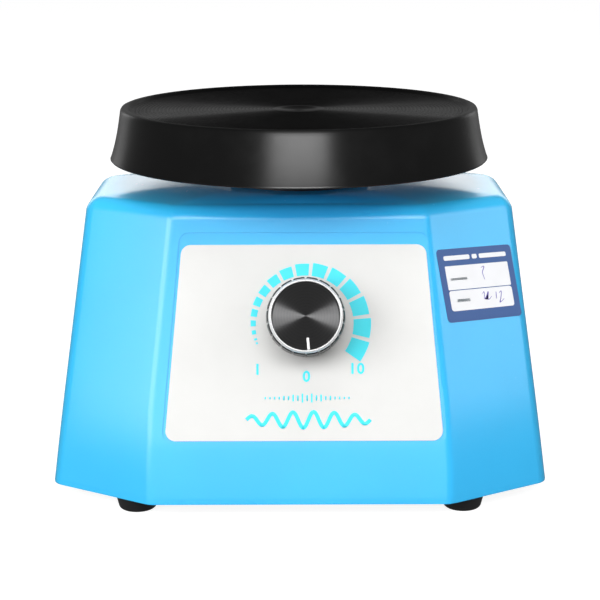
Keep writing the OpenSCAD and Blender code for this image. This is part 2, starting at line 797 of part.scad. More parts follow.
// a lead swept along its route as one eight-sided tube
module lead(route) {
    p = smooth_route(route);
    n = 8;
    rings = [for (i = [0 : len(p) - 1]) let (h = heading(p, i),
        s = carried(p, i, sideways(heading(p, 0))), u = cross(h, s))
        for (k = [0 : n - 1]) p[i] + lead_r * (cos(k * 360 / n) * s + sin(k * 360 / n) * u)];
    last = (len(p) - 1) * n;
    polyhedron(rings, concat([[for (k = [0 : n - 1]) n - 1 - k]],
        [[for (k = [0 : n - 1]) last + k]],
        [for (i = [0 : len(p) - 2], k = [0 : n - 1])
            [i * n + k, i * n + (k + 1) % n, (i + 1) * n + (k + 1) % n, (i + 1) * n + k]]));
}

module pot_leads() {
    tip = pot_r + 4.1;
    back = panel_back + 5.7;
    tip_y = -depth_at(dial_z) - tip * sin(panel_lean) + back * cos(panel_lean);
    tip_z = dial_z - tip * cos(panel_lean) - back * sin(panel_lean);
    color("#d9d23a") for (s = [-1, 0, 1])
        lead([[dial_x + s * 4, tip_y, tip_z], [dial_x / 2 + s * 4, tip_y + 1, tip_z - 9],
            [s * 4, board_y + 9, tip_z - 15], [s * 4, board_y + 9, board_top + 0.05]]);
}

module coil_leads() {
    color("#d3372c") for (i = [0, 1])
        lead([[15 + i * 5.5, board_y + 5.1, board_top + 3], [15 + i * 5, -29, board_top + 4],
            [10 + i * 4, -25.5, board_top + 11], [6 + i * 4, -24.2, board_top + 17]]);
}

module mains_leads() {
    // inner end of the gland and rear end of the fuse holder
    in_y = depth_at(kink_z + gland_z) - (wall + 7.6) * cos(panel_lean);
    in_z = kink_z + gland_z - (wall + 7.6) * sin(panel_lean);
    end_y = depth_at(kink_z + fuse_z) - 28.1 * cos(panel_lean);
    end_z = kink_z + fuse_z - 28.1 * sin(panel_lean);
    land_y = board_y + 9.5;
    color("#7a4a2a") {
        lead([[-gland_x - 1.2, in_y, in_z], [-33, 32, 24], [-33, 0, 20], [-30, -24, 21],
            [-20, land_y, 20], [-20, land_y, board_top + 0.05]]);
        lead([[-gland_x + 1.2, in_y, in_z], [-24, 34, 26], [2, 30, 24], [fuse_x - 6, 26.5, 27],
            [fuse_x - 2.2, end_y - 7, end_z - 2.5], [fuse_x - 2.2, end_y, end_z]]);
        lead([[fuse_x + 2.2, end_y, end_z], [fuse_x + 2.2, end_y - 7, end_z - 3],
            [fuse_x - 2, 26, 20], [0, 30, 18], [-24, 28, 20], [-28.5, 4, 22.5], [-27, -22, 22.5],
            [-16.5, land_y, 20], [-16.5, land_y, board_top + 0.05]]);
    }
}

housing();
base_plate();
foot(-1, -1);  // foot_front_left
foot(1, -1);  // foot_front_right
foot(-1, 1);  // foot_rear_left
foot(1, 1);  // foot_rear_right
foot_screws();
panel_label();
scale_marks();
inspection_sticker();
rating_plate();
knob_body();
knob_ring();
knob_cap();
knob_pointer();
knob_set_screw();
pot_shaft();
pot_body();
pot_washer();
pot_nut();
control_board();
board_standoffs();
board_screws();
triac();
heat_sink();
capacitor();
terminal_block();
magnet_bracket();
bracket_screws();
magnet_core();
core_bolts();
core_nuts();
coil_bobbin();
coil_winding();
pillars();
pillar_screws();
rubber_mounts();
carrier_plate();
carrier_nuts();
armature_plate();
armature_screws();
table_stem();
stem_screws();
table_disc();
table_screw();
dust_boot();
tray();
cord_gland();
gland_nut();
fuse_holder();
fuse_nut();
fuse_cap();
fuse();
pot_leads();
coil_leads();
mains_leads();
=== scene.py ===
"""Looks of a small bench vibrator: tapered shell, speed dial, ribbed rubber tray and its works."""

import json
import logging
import math
from dataclasses import dataclass, field
from enum import Enum
from typing import Iterable, Optional, Protocol, Sequence, Union

import bmesh
import bpy
from mathutils import Matrix, Vector

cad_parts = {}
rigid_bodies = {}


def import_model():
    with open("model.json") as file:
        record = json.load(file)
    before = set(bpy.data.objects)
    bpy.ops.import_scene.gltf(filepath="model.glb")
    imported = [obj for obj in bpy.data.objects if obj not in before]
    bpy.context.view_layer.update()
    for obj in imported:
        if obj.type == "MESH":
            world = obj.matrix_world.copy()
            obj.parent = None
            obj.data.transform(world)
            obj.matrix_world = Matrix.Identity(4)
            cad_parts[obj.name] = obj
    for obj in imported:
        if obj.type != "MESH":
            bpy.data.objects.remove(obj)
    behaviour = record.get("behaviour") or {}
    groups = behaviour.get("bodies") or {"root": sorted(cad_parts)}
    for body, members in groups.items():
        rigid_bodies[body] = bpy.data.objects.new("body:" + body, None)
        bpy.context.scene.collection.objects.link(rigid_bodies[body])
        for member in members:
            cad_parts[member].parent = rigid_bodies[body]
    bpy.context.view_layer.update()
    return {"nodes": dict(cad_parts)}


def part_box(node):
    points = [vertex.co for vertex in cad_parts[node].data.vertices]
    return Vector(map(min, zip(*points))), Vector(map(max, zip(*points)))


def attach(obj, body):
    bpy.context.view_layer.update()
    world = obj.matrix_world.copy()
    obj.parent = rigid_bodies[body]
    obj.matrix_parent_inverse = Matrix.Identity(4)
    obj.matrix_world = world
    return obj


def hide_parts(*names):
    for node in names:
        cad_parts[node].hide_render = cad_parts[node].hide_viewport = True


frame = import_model()

LOG = logging.getLogger("vibrator")
MM = 0.001
FULL_TURN = 2 * math.pi
Colour = tuple[float, float, float]
Spot = tuple[float, float, float]
Point = tuple[float, float]
Body = tuple[list, list]
Number = Union[int, float]


class Reach(Enum):
    """Which pieces a lamp lights: only those named, or all but those."""

    ONLY = "INCLUDE"
    EXCEPT = "EXCLUDE"


# ---------------------------------------------------------------- shader maths


class Value:
    """A number that varies over a surface: one output socket with Python's operators."""

    def __init__(self, graph: "Graph", socket: bpy.types.NodeSocket) -> None:
        """Wraps a socket.

        Args:
            graph: the material's node graph.
            socket: the output that carries the number.
        """
        self.graph = graph
        self.socket = socket

    def _math(self, operation: str, first: "Term", second: "Term" = 0.0) -> "Value":
        """Adds one Math node.

        Args:
            operation: the Math node's operation.
            first: its first input.
            second: its second input.

        Returns:
            The node's output.
        """
        node = self.graph.node("ShaderNodeMath", {"operation": operation}, {0: first, 1: second})
        return Value(self.graph, node.outputs[0])

    def __add__(self, other: "Term") -> "Value":
        """self + other."""
        return self._math("ADD", self, other)

    __radd__ = __add__

    def __sub__(self, other: "Term") -> "Value":
        """self - other."""
        return self._math("SUBTRACT", self, other)

    def __rsub__(self, other: "Term") -> "Value":
        """other - self."""
        return self._math("SUBTRACT", other, self)

    def __mul__(self, other: "Term") -> "Value":
        """self * other."""
        return self._math("MULTIPLY", self, other)

    __rmul__ = __mul__

    def __pow__(self, other: "Term") -> "Value":
        """self ** other."""
        return self._math("POWER", self, other)

    def over(self, limit: "Term") -> "Value":
        """1 where the value is above the limit, else 0."""
        return self._math("GREATER_THAN", self, limit)

    def wrapped(self) -> "Value":
        """The value's fractional part."""
        return self._math("FRACT", self)

    def sine(self) -> "Value":
        """The sine of the value in radians."""
        return self._math("SINE", self)

    def waves(self, pitch: float) -> "Value":
        """A wave between 0 and 1 that repeats at a pitch in the value's own unit."""
        return (self * (FULL_TURN / pitch)).sine() * 0.5 + 0.5

    def between(self, low: Number, high: Number) -> "Value":
        """Eases from 0 at low to 1 at high.

        Args:
            low: where the ease starts.
            high: where it ends.

        Returns:
            The eased value.
        """
        node = self.graph.node(
            "ShaderNodeMapRange", {"interpolation_type": "SMOOTHSTEP"}, {0: self, 1: low, 2: high}
        )
        return Value(self.graph, node.outputs[0])


Term = Union[Value, int, float]


class Graph:
    """The node tree of one material, with a Principled shader at its end."""

    def __init__(self, name: str) -> None:
        """Makes an empty material.

        Args:
            name: the material's name.
        """
        self.material = bpy.data.materials.new(name)
        self.material.use_nodes = True
        self.tree = self.material.node_tree
        self.shader = self.tree.nodes["Principled BSDF"]

    def node(self, kind: str, settings: dict, inputs: dict) -> bpy.types.Node:
        """Adds one node.

        Args:
            kind: the node's type.
            settings: its properties, set first.
            inputs: the value or link of each of its sockets, by name or number.

        Returns:
            The node.
        """
        made = self.tree.nodes.new(kind)
        for key, value in settings.items():
            setattr(made, key, value)
        for key, value in inputs.items():
            self.feed(made.inputs[key], value)
        return made

    def feed(self, socket: bpy.types.NodeSocket, value: object) -> None:
        """Links or sets one input.

        Args:
            socket: the input.
            value: a Value, an output socket, or a plain value.
        """
        if isinstance(value, Value):
            self.tree.links.new(value.socket, socket)
        elif isinstance(value, bpy.types.NodeSocket):
            self.tree.links.new(value, socket)
        elif socket.type == "RGBA" and len(value) == 3:
            socket.default_value = (*value, 1.0)
        else:
            socket.default_value = value

    def place(self, scale: Sequence[float] = (1, 1, 1)) -> bpy.types.NodeSocket:
        """The object's own coordinates in metres, stretched along the axes.

        Args:
            scale: the stretch along each axis.

        Returns:
            A vector output.
        """
        source = self.node("ShaderNodeTexCoord", {}, {}).outputs["Object"]
        mapping = self.node("ShaderNodeMapping", {}, {"Vector": source, "Scale": tuple(scale)})
        return mapping.outputs[0]

    def noise(
        self,
        size_mm: float,
        detail: float = 3.0,
        rough: float = 0.5,
        stretch: Sequence[float] = (1, 1, 1),
    ) -> Value:
        """Cloudy noise.

        Args:
            size_mm: the size of its patches.
            detail: how many finer layers it has.
            rough: how strong the finer layers are.
            stretch: the stretch along each axis.

        Returns:
            A value from about 0.2 to 0.8.
        """
        made = self.node("ShaderNodeTexNoise", {}, {
            "Vector": self.place(scale=stretch),
            "Scale": 1 / (size_mm * MM),
            "Detail": detail,
            "Roughness": rough,
        })
        return Value(self, made.outputs[0])

    def axes(self) -> tuple[Value, Value, Value]:
        """The object's own coordinates in metres, one value per axis."""
        parts = self.node("ShaderNodeSeparateXYZ", {}, {0: self.place()})
        return tuple(Value(self, parts.outputs[i]) for i in range(3))

    def mix(self, mask: Term, first: object, second: object) -> bpy.types.NodeSocket:
        """Joins two colours.

        Args:
            mask: 0 gives the first colour, 1 the second.
            first: a colour or its link.
            second: a colour or its link.

        Returns:
            A colour output.
        """
        made = self.node("ShaderNodeMix", {"data_type": "RGBA"}, {0: mask, 6: first, 7: second})
        return made.outputs[2]

    def bump(self, height: Value, depth_mm: float) -> bpy.types.NodeSocket:
        """Turns a height into a normal.

        Args:
            height: 0 to 1.
            depth_mm: how deep 1 is.

        Returns:
            A normal output.
        """
        return self.node("ShaderNodeBump", {}, {"Height": height, "Distance": depth_mm * MM}).outputs[0]

    def finish(self, **sockets: object) -> bpy.types.Material:
        """Sets the Principled shader's sockets.

        Args:
            **sockets: socket names with _ for each space.

        Returns:
            The finished material.
        """
        for name, value in sockets.items():
            self.feed(self.shader.inputs[name.replace("_", " ")], value)
        return self.material


def srgb(red: int, green: int, blue: int) -> Colour:
    """A screen colour as the linear colour that a shader takes.

    Args:
        red: 0 to 255.
        green: 0 to 255.
        blue: 0 to 255.

    Returns:
        Three linear values.
    """
    parts = [c / 255 for c in (red, green, blue)]
    return tuple(c / 12.92 if c <= 0.04045 else ((c + 0.055) / 1.055) ** 2.4 for c in parts)


def shade(colour: Colour, factor: float) -> Colour:
    """A colour made darker or lighter.

    Args:
        colour: the colour.
        factor: what each part is multiplied by.

    Returns:
        The new colour.
    """
    return tuple(min(1.0, c * factor) for c in colour)


# ---------------------------------------------------------------- finishes


class Finish(Protocol):
    """Anything that has a name and can make its material."""

    name: str

    def build(self) -> bpy.types.Material:
        """Makes the material."""


@dataclass(frozen=True)
class MouldedShell:
    """Injection-moulded plastic with a fine spark-eroded grain and faint flow clouds."""

    name: str
    colour: Colour
    roughness: float = 0.34
    grain_mm: float = 0.35
    grain_depth_mm: float = 0.006

    def build(self) -> bpy.types.Material:
        """Makes the material.

        Returns:
            The material.
        """
        g = Graph(self.name)
        clouds = g.noise(38, detail=2)
        grain = g.noise(self.grain_mm, detail=2, rough=0.6)
        scuffs = g.noise(2.4, detail=4, rough=0.7, stretch=(1, 1, 0.25)).between(0.62, 0.8)
        colour = g.mix(clouds.between(0.3, 0.7), shade(self.colour, 0.975), shade(self.colour, 1.02))
        rough = self.roughness + (grain - 0.5) * 0.07 + scuffs * 0.06
        return g.finish(
            Base_Color=colour,
            Roughness=rough,
            Normal=g.bump(grain, self.grain_depth_mm),
            Specular_IOR_Level=0.55,
        )


@dataclass(frozen=True)
class MouldedRubber:
    """Black moulded rubber: matt skin, faint bloom and dust in the hollows."""

    name: str
    colour: Colour = (0.011, 0.011, 0.012)
    roughness: float = 0.36
    bloom: float = 0.5
    gloss: float = 0.5
    streak: float = 0.0

    def build(self) -> bpy.types.Material:
        """Makes the material.

        Returns:
            The material.
        """
        g = Graph(self.name)
        bloom = g.noise(14, detail=5, rough=0.6).between(0.42, 0.75)
        grain = g.noise(0.28, detail=2, rough=0.6)
        colour = g.mix(bloom * self.bloom, self.colour, shade(self.colour, 1.7))
        return g.finish(
            Base_Color=colour,
            Roughness=self.roughness + bloom * 0.06 + (grain - 0.5) * 0.1,
            Normal=g.bump(grain, 0.004),
            Specular_IOR_Level=self.gloss,
            Anisotropic=self.streak,
            Anisotropic_Rotation=0.25,
        )


@dataclass(frozen=True)
class SpunMetal:
    """Metal turned on a lathe: fine rings about the piece's own Z axis."""

    name: str
    colour: Colour
    roughness: float = 0.25
    ring_mm: float = 0.22
    depth_mm: float = 0.012
    metallic: float = 1.0
    streak: float = 0.8

    def build(self) -> bpy.types.Material:
        """Makes the material.

        Returns:
            The material.
        """
        g = Graph(self.name)
        x, y, _ = g.axes()
        radius = (x * x + y * y) ** 0.5 * (1 / MM)
        rings = radius.waves(self.ring_mm)
        broad = radius.waves(self.ring_mm * 4.3)
        wear = g.noise(1.5, detail=4, rough=0.7).between(0.55, 0.8)
        colour = g.mix(broad * 0.35, self.colour, shade(self.colour, 0.8))
        return g.finish(
            Base_Color=colour,
            Metallic=self.metallic,
            Roughness=self.roughness + wear * 0.06,
            Normal=g.bump(rings, self.depth_mm),
            Anisotropic=self.streak,
            Anisotropic_Rotation=0.25,
        )


@dataclass(frozen=True)
class PrintedFilm:
    """Printed polyester film or paper: even colour, faint orange peel."""

    name: str
    colour: Colour
    roughness: float = 0.3
    peel_mm: float = 0.9
    fibre: float = 0.0

    def build(self) -> bpy.types.Material:
        """Makes the material.

        Returns:
            The material.
        """
        g = Graph(self.name)
        peel = g.noise(self.peel_mm, detail=2)
        tone = g.noise(9, detail=2)
        dull = shade(self.colour, 0.985 - self.fibre * 0.04)
        colour = g.mix(tone.between(0.3, 0.7), dull, self.colour)
        return g.finish(
            Base_Color=colour,
            Roughness=self.roughness + (peel - 0.5) * 0.08,
            Normal=g.bump(peel, 0.002 + self.fibre * 0.004),
        )


@dataclass(frozen=True)
class SheetMetal:
    """Rolled or plated steel: long roll lines, mottled plating and scuffs."""

    name: str
    colour: Colour
    roughness: float = 0.35
    metallic: float = 1.0
    line_mm: float = 0.25
    along: tuple[float, float, float] = (0.04, 1.0, 1.0)

    def build(self) -> bpy.types.Material:
        """Makes the material.

        Returns:
            The material.
        """
        g = Graph(self.name)
        lines = g.noise(self.line_mm, detail=3, rough=0.6, stretch=self.along)
        mottle = g.noise(5, detail=4, rough=0.6).between(0.4, 0.7)
        colour = g.mix(mottle, self.colour, shade(self.colour, 0.82))
        return g.finish(
            Base_Color=colour,
            Metallic=self.metallic,
            Roughness=self.roughness + (lines - 0.5) * 0.18 + mottle * 0.05,
            Normal=g.bump(lines, 0.01),
        )


@dataclass(frozen=True)
class StackedSheets:
    """Laminated core: thin steel sheets side by side along Y, with oily edges."""

    name: str
    colour: Colour = (0.16, 0.165, 0.175)
    sheet_mm: float = 0.5

    def build(self) -> bpy.types.Material:
        """Makes the material.

        Returns:
            The material.
        """
        g = Graph(self.name)
        _, y, _ = g.axes()
        edge = y.waves(self.sheet_mm * MM)
        rust = g.noise(3.5, detail=5, rough=0.65).between(0.56, 0.78)
        colour = g.mix(edge, shade(self.colour, 0.5), self.colour)
        return g.finish(
            Base_Color=g.mix(rust * 0.6, colour, (0.17, 0.075, 0.035)),
            Metallic=0.85 - rust * 0.6,
            Roughness=0.42 + rust * 0.3,
            Normal=g.bump(edge, 0.06),
        )


@dataclass(frozen=True)
class WoundWire:
    """Enamelled copper wire wound in level turns along Z, with painted shade in the grooves between turns."""

    name: str
    colour: Colour = (0.5, 0.16, 0.045)
    wire_mm: float = 0.45

    def build(self) -> bpy.types.Material:
        """Makes the material.

        Returns:
            The material.
        """
        g = Graph(self.name)
        _, _, z = g.axes()
        turn = z.waves(self.wire_mm * MM)
        lacquer = g.noise(4, detail=3).between(0.4, 0.7)
        bright = g.mix(lacquer, self.colour, shade(self.colour, 1.3))
        # Painted shade: the base colour darkens to about a third in each groove between turns, following the
        # turn bump.
        return g.finish(
            Base_Color=g.mix(turn, shade(self.colour, 0.35), bright),
            Metallic=0.9,
            Roughness=0.24 + lacquer * 0.1,
            Normal=g.bump(turn, 0.12),
            Coat_Weight=0.6,
            Coat_Roughness=0.12,
        )


@dataclass(frozen=True)
class PlainPlastic:
    """Small moulded or dipped parts: fine grain and a few handling marks."""

    name: str
    colour: Colour
    roughness: float = 0.42
    grain_mm: float = 0.3
    coat: float = 0.0

    def build(self) -> bpy.types.Material:
        """Makes the material.

        Returns:
            The material.
        """
        g = Graph(self.name)
        grain = g.noise(self.grain_mm, detail=2, rough=0.6)
        marks = g.noise(2.6, detail=4, rough=0.7).between(0.6, 0.8)
        colour = g.mix(marks * 0.5, self.colour, shade(self.colour, 1.25))
        return g.finish(
            Base_Color=colour,
            Roughness=self.roughness + (grain - 0.5) * 0.12 + marks * 0.08,
            Normal=g.bump(grain, 0.008),
            Coat_Weight=self.coat,
        )


@dataclass(frozen=True)
class CircuitBoard:
    """Green solder resist over copper tracks."""

    name: str
    colour: Colour = (0.012, 0.13, 0.05)

    def build(self) -> bpy.types.Material:
        """Makes the material.

        Returns:
            The material.
        """
        g = Graph(self.name)
        x, y, _ = g.axes()
        columns = ((x * (1 / (5.2 * MM))).wrapped() - 0.5).sine() ** 2.0
        rows = ((y * (1 / (3.7 * MM))).wrapped() - 0.5).sine() ** 2.0
        track = (columns * rows * 14 + g.noise(7, detail=1) * 0.5).over(0.56)
        weave = g.noise(0.5, detail=1)
        return g.finish(
            Base_Color=g.mix(track, self.colour, shade(self.colour, 1.9)),
            Roughness=0.28 + (weave - 0.5) * 0.1,
            Normal=g.bump(track * 0.8 + weave * 0.2, 0.03),
            Coat_Weight=0.3,
            Coat_Roughness=0.12,
        )


@dataclass(frozen=True)
class ClearGlass:
    """Thin glass tube with faint draw lines."""

    name: str

    def build(self) -> bpy.types.Material:
        """Makes the material.

        Returns:
            The material.
        """
        g = Graph(self.name)
        lines = g.noise(0.6, detail=2, stretch=(1, 0.1, 1))
        return g.finish(
            Base_Color=(0.82, 0.87, 0.88),
            Roughness=0.04 + lines * 0.04,
            Normal=g.bump(lines, 0.004),
            Transmission_Weight=0.9,
            IOR=1.47,
        )


@dataclass
class Palette:
    """Every finish of the object, each made once."""

    made: dict[str, bpy.types.Material] = field(default_factory=dict)

    def get(self, finish: Finish) -> bpy.types.Material:
        """The material of a finish.

        Args:
            finish: one of the finish classes.

        Returns:
            Its material, made on first use.
        """
        if finish.name not in self.made:
            self.made[finish.name] = finish.build()
        return self.made[finish.name]


BLUE = MouldedShell("sky_blue_shell", srgb(48, 166, 204), roughness=0.24)
RUBBER = MouldedRubber("tray_rubber", colour=(0.0015, 0.0015, 0.0015), roughness=0.36, gloss=0.16, streak=0.9)
FOOT_RUBBER = MouldedRubber("foot_rubber", colour=(0.006, 0.006, 0.007), roughness=0.5)
WHITE_FILM = PrintedFilm("label_film", srgb(230, 230, 228), roughness=0.36)
CYAN_INK = PrintedFilm("cyan_ink", srgb(74, 238, 254), roughness=0.33, peel_mm=0.5)
SEAL_BLUE = PrintedFilm("seal_blue", srgb(48, 88, 150), roughness=0.42)
SEAL_WHITE = PrintedFilm("seal_white", srgb(248, 249, 252), roughness=0.46, fibre=0.6)
SEAL_GREY = PrintedFilm("seal_grey", srgb(168, 178, 186), roughness=0.5)
SEAL_PEN = PrintedFilm("seal_pen", srgb(112, 98, 190), roughness=0.5)
FOIL = SheetMetal("rating_foil", (0.62, 0.63, 0.65), roughness=0.3)
KNOB_BLACK = PlainPlastic("knob_skirt", (0.012, 0.012, 0.013), roughness=0.32)
KNOB_FACE = SpunMetal("knob_face", (0.165, 0.165, 0.167), roughness=0.46, depth_mm=0.0025, streak=1.0)
KNOB_RING = SpunMetal(
    "knob_ring", (0.93, 0.935, 0.94), roughness=0.26, depth_mm=0.002, metallic=0.4, streak=0.0
)
POINTER = PrintedFilm("pointer_paint", (0.93, 0.93, 0.93), roughness=0.4)
ZINC = SheetMetal("zinc_plate", (0.56, 0.57, 0.6), roughness=0.32)
SCREW = SheetMetal("screw_plating", (0.62, 0.63, 0.66), roughness=0.26, line_mm=0.18, along=(1, 1, 0.3))
DARK_STEEL = SheetMetal("base_steel", (0.2, 0.21, 0.225), roughness=0.42)
BRASS = SheetMetal("nut_brass", (0.73, 0.5, 0.19), roughness=0.28, along=(1, 1, 0.2))
ALUMINIUM = SheetMetal("sink_aluminium", (0.66, 0.67, 0.69), roughness=0.38, along=(1, 1, 0.08))
BLACK_NYLON = PlainPlastic("black_nylon", (0.014, 0.014, 0.015), roughness=0.45)
NYLON = PlainPlastic("bobbin_nylon", (0.72, 0.66, 0.5), roughness=0.4)
EPOXY = PlainPlastic("triac_epoxy", (0.018, 0.018, 0.02), roughness=0.55)
FILM_CAP = PlainPlastic("capacitor_case", (0.62, 0.38, 0.06), roughness=0.3, coat=0.3)
GREEN_BLOCK = PlainPlastic("terminal_case", (0.035, 0.24, 0.1), roughness=0.4)
LEAD_YELLOW = PlainPlastic("lead_yellow", (0.68, 0.55, 0.03), roughness=0.38)
LEAD_RED = PlainPlastic("lead_red", (0.55, 0.03, 0.02), roughness=0.38)
LEAD_BROWN = PlainPlastic("lead_brown", (0.17, 0.07, 0.03), roughness=0.38)


# ---------------------------------------------------------------- mesh tools


def in_scene(name: str, data: bpy.types.ID) -> bpy.types.Object:
    """Puts a mesh, curve, lamp or camera into the scene.

    Args:
        name: the object's name.
        data: what it shows.

    Returns:
        The object.
    """
    made = bpy.data.objects.new(name, data)
    bpy.context.scene.collection.objects.link(made)
    return made


def piece_from(
    name: str,
    vertices: Sequence[Sequence[float]],
    faces: Sequence[Sequence[int]],
    place: Matrix = Matrix.Identity(4),
) -> bpy.types.Object:
    """Makes one mesh object from points in millimetres.

    Args:
        name: the piece's name.
        vertices: its points.
        faces: its faces.
        place: the object's own frame, in metres.

    Returns:
        The object, smooth-shaded, with its faces turned outwards.
    """
    mesh = bpy.data.meshes.new(name)
    mesh.from_pydata([tuple(c * MM for c in v) for v in vertices], [], faces)
    work = bmesh.new()
    work.from_mesh(mesh)
    bmesh.ops.recalc_face_normals(work, faces=work.faces)
    for face in work.faces:
        face.smooth = True
    work.to_mesh(mesh)
    work.free()
    made = in_scene(name, mesh)
    made.matrix_world = place
    return made


def loft(rings: Sequence[Sequence[Vector]], closed: bool = False) -> Body:
    """Joins rings of equal length by quads.

    Args:
        rings: the rings, in order.
        closed: whether the last ring joins the first; if not, both ends are filled.

    Returns:
        Vertices and faces.
    """
    count = len(rings[0])
    vertices = [tuple(p) for ring in rings for p in ring]
    faces = []
    for i in range(len(rings) if closed else len(rings) - 1):
        low, high = i * count, (i + 1) % len(rings) * count
        faces += [(low + k, low + (k + 1) % count, high + (k + 1) % count, high + k) for k in range(count)]
    if not closed:
        faces += [tuple(range(count))[::-1], tuple(range(len(vertices) - count, len(vertices)))]
    return vertices, faces


def lathe(profile: Sequence[Point], steps: int) -> Body:
    """Turns a closed profile about Z.

    Args:
        profile: radius and height pairs; the ends may lie on the axis.
        steps: divisions of the whole turn.

    Returns:
        Vertices and faces.
    """
    on_axis = profile[0][0] == 0
    vertices, rows = [], []
    for radius, height in profile:
        if radius == 0:
            rows.append([len(vertices)] * steps)
            vertices.append((0, 0, height))
        else:
            rows.append(list(range(len(vertices), len(vertices) + steps)))
            angles = [FULL_TURN * k / steps for k in range(steps)]
            vertices += [(radius * math.cos(a), radius * math.sin(a), height) for a in angles]
    faces = []
    for i in range(len(profile) - 1 if on_axis else len(profile)):
        low, high = rows[i], rows[(i + 1) % len(profile)]
        for k in range(steps):
            corners = [low[k], low[(k + 1) % steps], high[(k + 1) % steps], high[k]]
            unique = list(dict.fromkeys(corners))
            if len(unique) > 2:
                faces.append(tuple(unique))
    return vertices, faces


def rectangle(left: float, right: float, low: float, high: float) -> list[Point]:
    """The corners of a rectangle, anticlockwise from its lower left."""
    return [(left, low), (right, low), (right, high), (left, high)]


def rounded(points: Sequence[Point], radii: Sequence[float], steps: int = 5) -> list[Point]:
    """Rounds the corners of an outline.

    Args:
        points: the outline's corners.
        radii: the radius at each corner, 0 to keep it sharp.
        steps: divisions of each arc.

    Returns:
        The rounded outline.
    """
    out: list[Point] = []
    count = len(points)
    for i, (point, radius) in enumerate(zip(points, radii)):
        here = Vector(point)
        before = (Vector(points[i - 1]) - here).normalized()
        after = (Vector(points[(i + 1) % count]) - here).normalized()
        half = before.angle(after) / 2 if radius else 0
        if not radius or half > math.radians(89):
            out.append(tuple(here))
            continue
        reach = radius / math.tan(half)
        middle = here + (before + after).normalized() * (radius / math.sin(half))
        start = here + before * reach - middle
        end = here + after * reach - middle
        turn = start.angle_signed(end)
        for k in range(steps + 1):
            spin = Matrix.Rotation(-turn * k / steps, 2)
            out.append(tuple(middle + spin @ start))
    return out


def plate(outline: Sequence[Point], low: float, high: float, edge: float = 0.0) -> Body:
    """A flat plate with a given outline, its upper edge eased.

    Args:
        outline: corners in order.
        low: height of the underside.
        high: height of the top.
        edge: size of the eased upper edge.

    Returns:
        Vertices and faces.
    """
    middle = sum((Vector(p) for p in outline), Vector((0, 0))) / len(outline)

    def ring(z: float, inset: float) -> list[Vector]:
        """The outline at a height, drawn in towards the middle.

        Args:
            z: the height.
            inset: how far each point is drawn in.

        Returns:
            The ring's points.
        """
        drawn = []
        for p in outline:
            out = Vector(p) - middle
            drawn.append(Vector((*(middle + out * (1 - inset / out.length)), z)))
        return drawn

    rings = [ring(low, 0), ring(high - edge, 0)]
    if edge:
        rings += [ring(high - edge * 0.3, edge * 0.3), ring(high, edge)]
    return loft(rings)


def merged(*parts: Body) -> Body:
    """Several closed bodies as one set of vertices and faces.

    Args:
        *parts: the bodies.

    Returns:
        Vertices and faces of them all.
    """
    vertices: list = []
    faces: list = []
    for some, joined in parts:
        shift = len(vertices)
        vertices += list(some)
        faces += [tuple(i + shift for i in face) for face in joined]
    return vertices, faces


def moved(part: Body, place: Matrix) -> Body:
    """A body moved to another place, in millimetres.

    Args:
        part: vertices and faces.
        place: the move.

    Returns:
        The moved body.
    """
    return [tuple(place @ Vector(v)) for v in part[0]], part[1]


def carve(target: bpy.types.Object, cutter: bpy.types.Object) -> None:
    """Cuts one closed mesh out of another and removes the cutter.

    Args:
        target: the mesh that is cut.
        cutter: the mesh that is taken away.
    """
    cut = target.modifiers.new("cut", "BOOLEAN")
    cut.operation = "DIFFERENCE"
    cut.solver = "EXACT"
    cut.object = cutter
    bpy.context.view_layer.update()
    graph = bpy.context.evaluated_depsgraph_get()
    result = bpy.data.meshes.new_from_object(target.evaluated_get(graph))
    target.modifiers.clear()
    target.data = result
    bpy.data.objects.remove(cutter)


def ease(target: bpy.types.Object, width_mm: float = 0.0, angle: float = 40.0) -> None:
    """Rounds the sharp edges of a piece and evens its shading.

    Args:
        target: the piece.
        width_mm: the width of the rounding, or 0 for even shading alone.
        angle: edges sharper than this are rounded, in degrees.
    """
    if width_mm:
        bevel = target.modifiers.new("eased_edges", "BEVEL")
        bevel.width = width_mm * MM
        bevel.segments = 2
        bevel.limit_method = "ANGLE"
        bevel.angle_limit = math.radians(angle)
        bevel.use_clamp_overlap = True
        bevel.harden_normals = False
    even = target.modifiers.new("even_shading", "WEIGHTED_NORMAL")
    even.weight = 80
    even.keep_sharp = True


def outfit(
    piece: bpy.types.Object,
    body: str,
    material: bpy.types.Material,
    stands_for: Iterable[str] = (),
) -> bpy.types.Object:
    """Gives a new piece its material, body and the nodes that it stands for.

    Args:
        piece: the piece.
        body: the CAD body that it rides on.
        material: its material.
        stands_for: CAD nodes that it replaces.

    Returns:
        The piece.
    """
    piece.data.materials.clear()
    piece.data.materials.append(material)
    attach(piece, body)
    if stands_for:
        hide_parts(*stands_for)
    LOG.info("%s rides on %s", piece.name, body)
    return piece


# ---------------------------------------------------------------- the shell


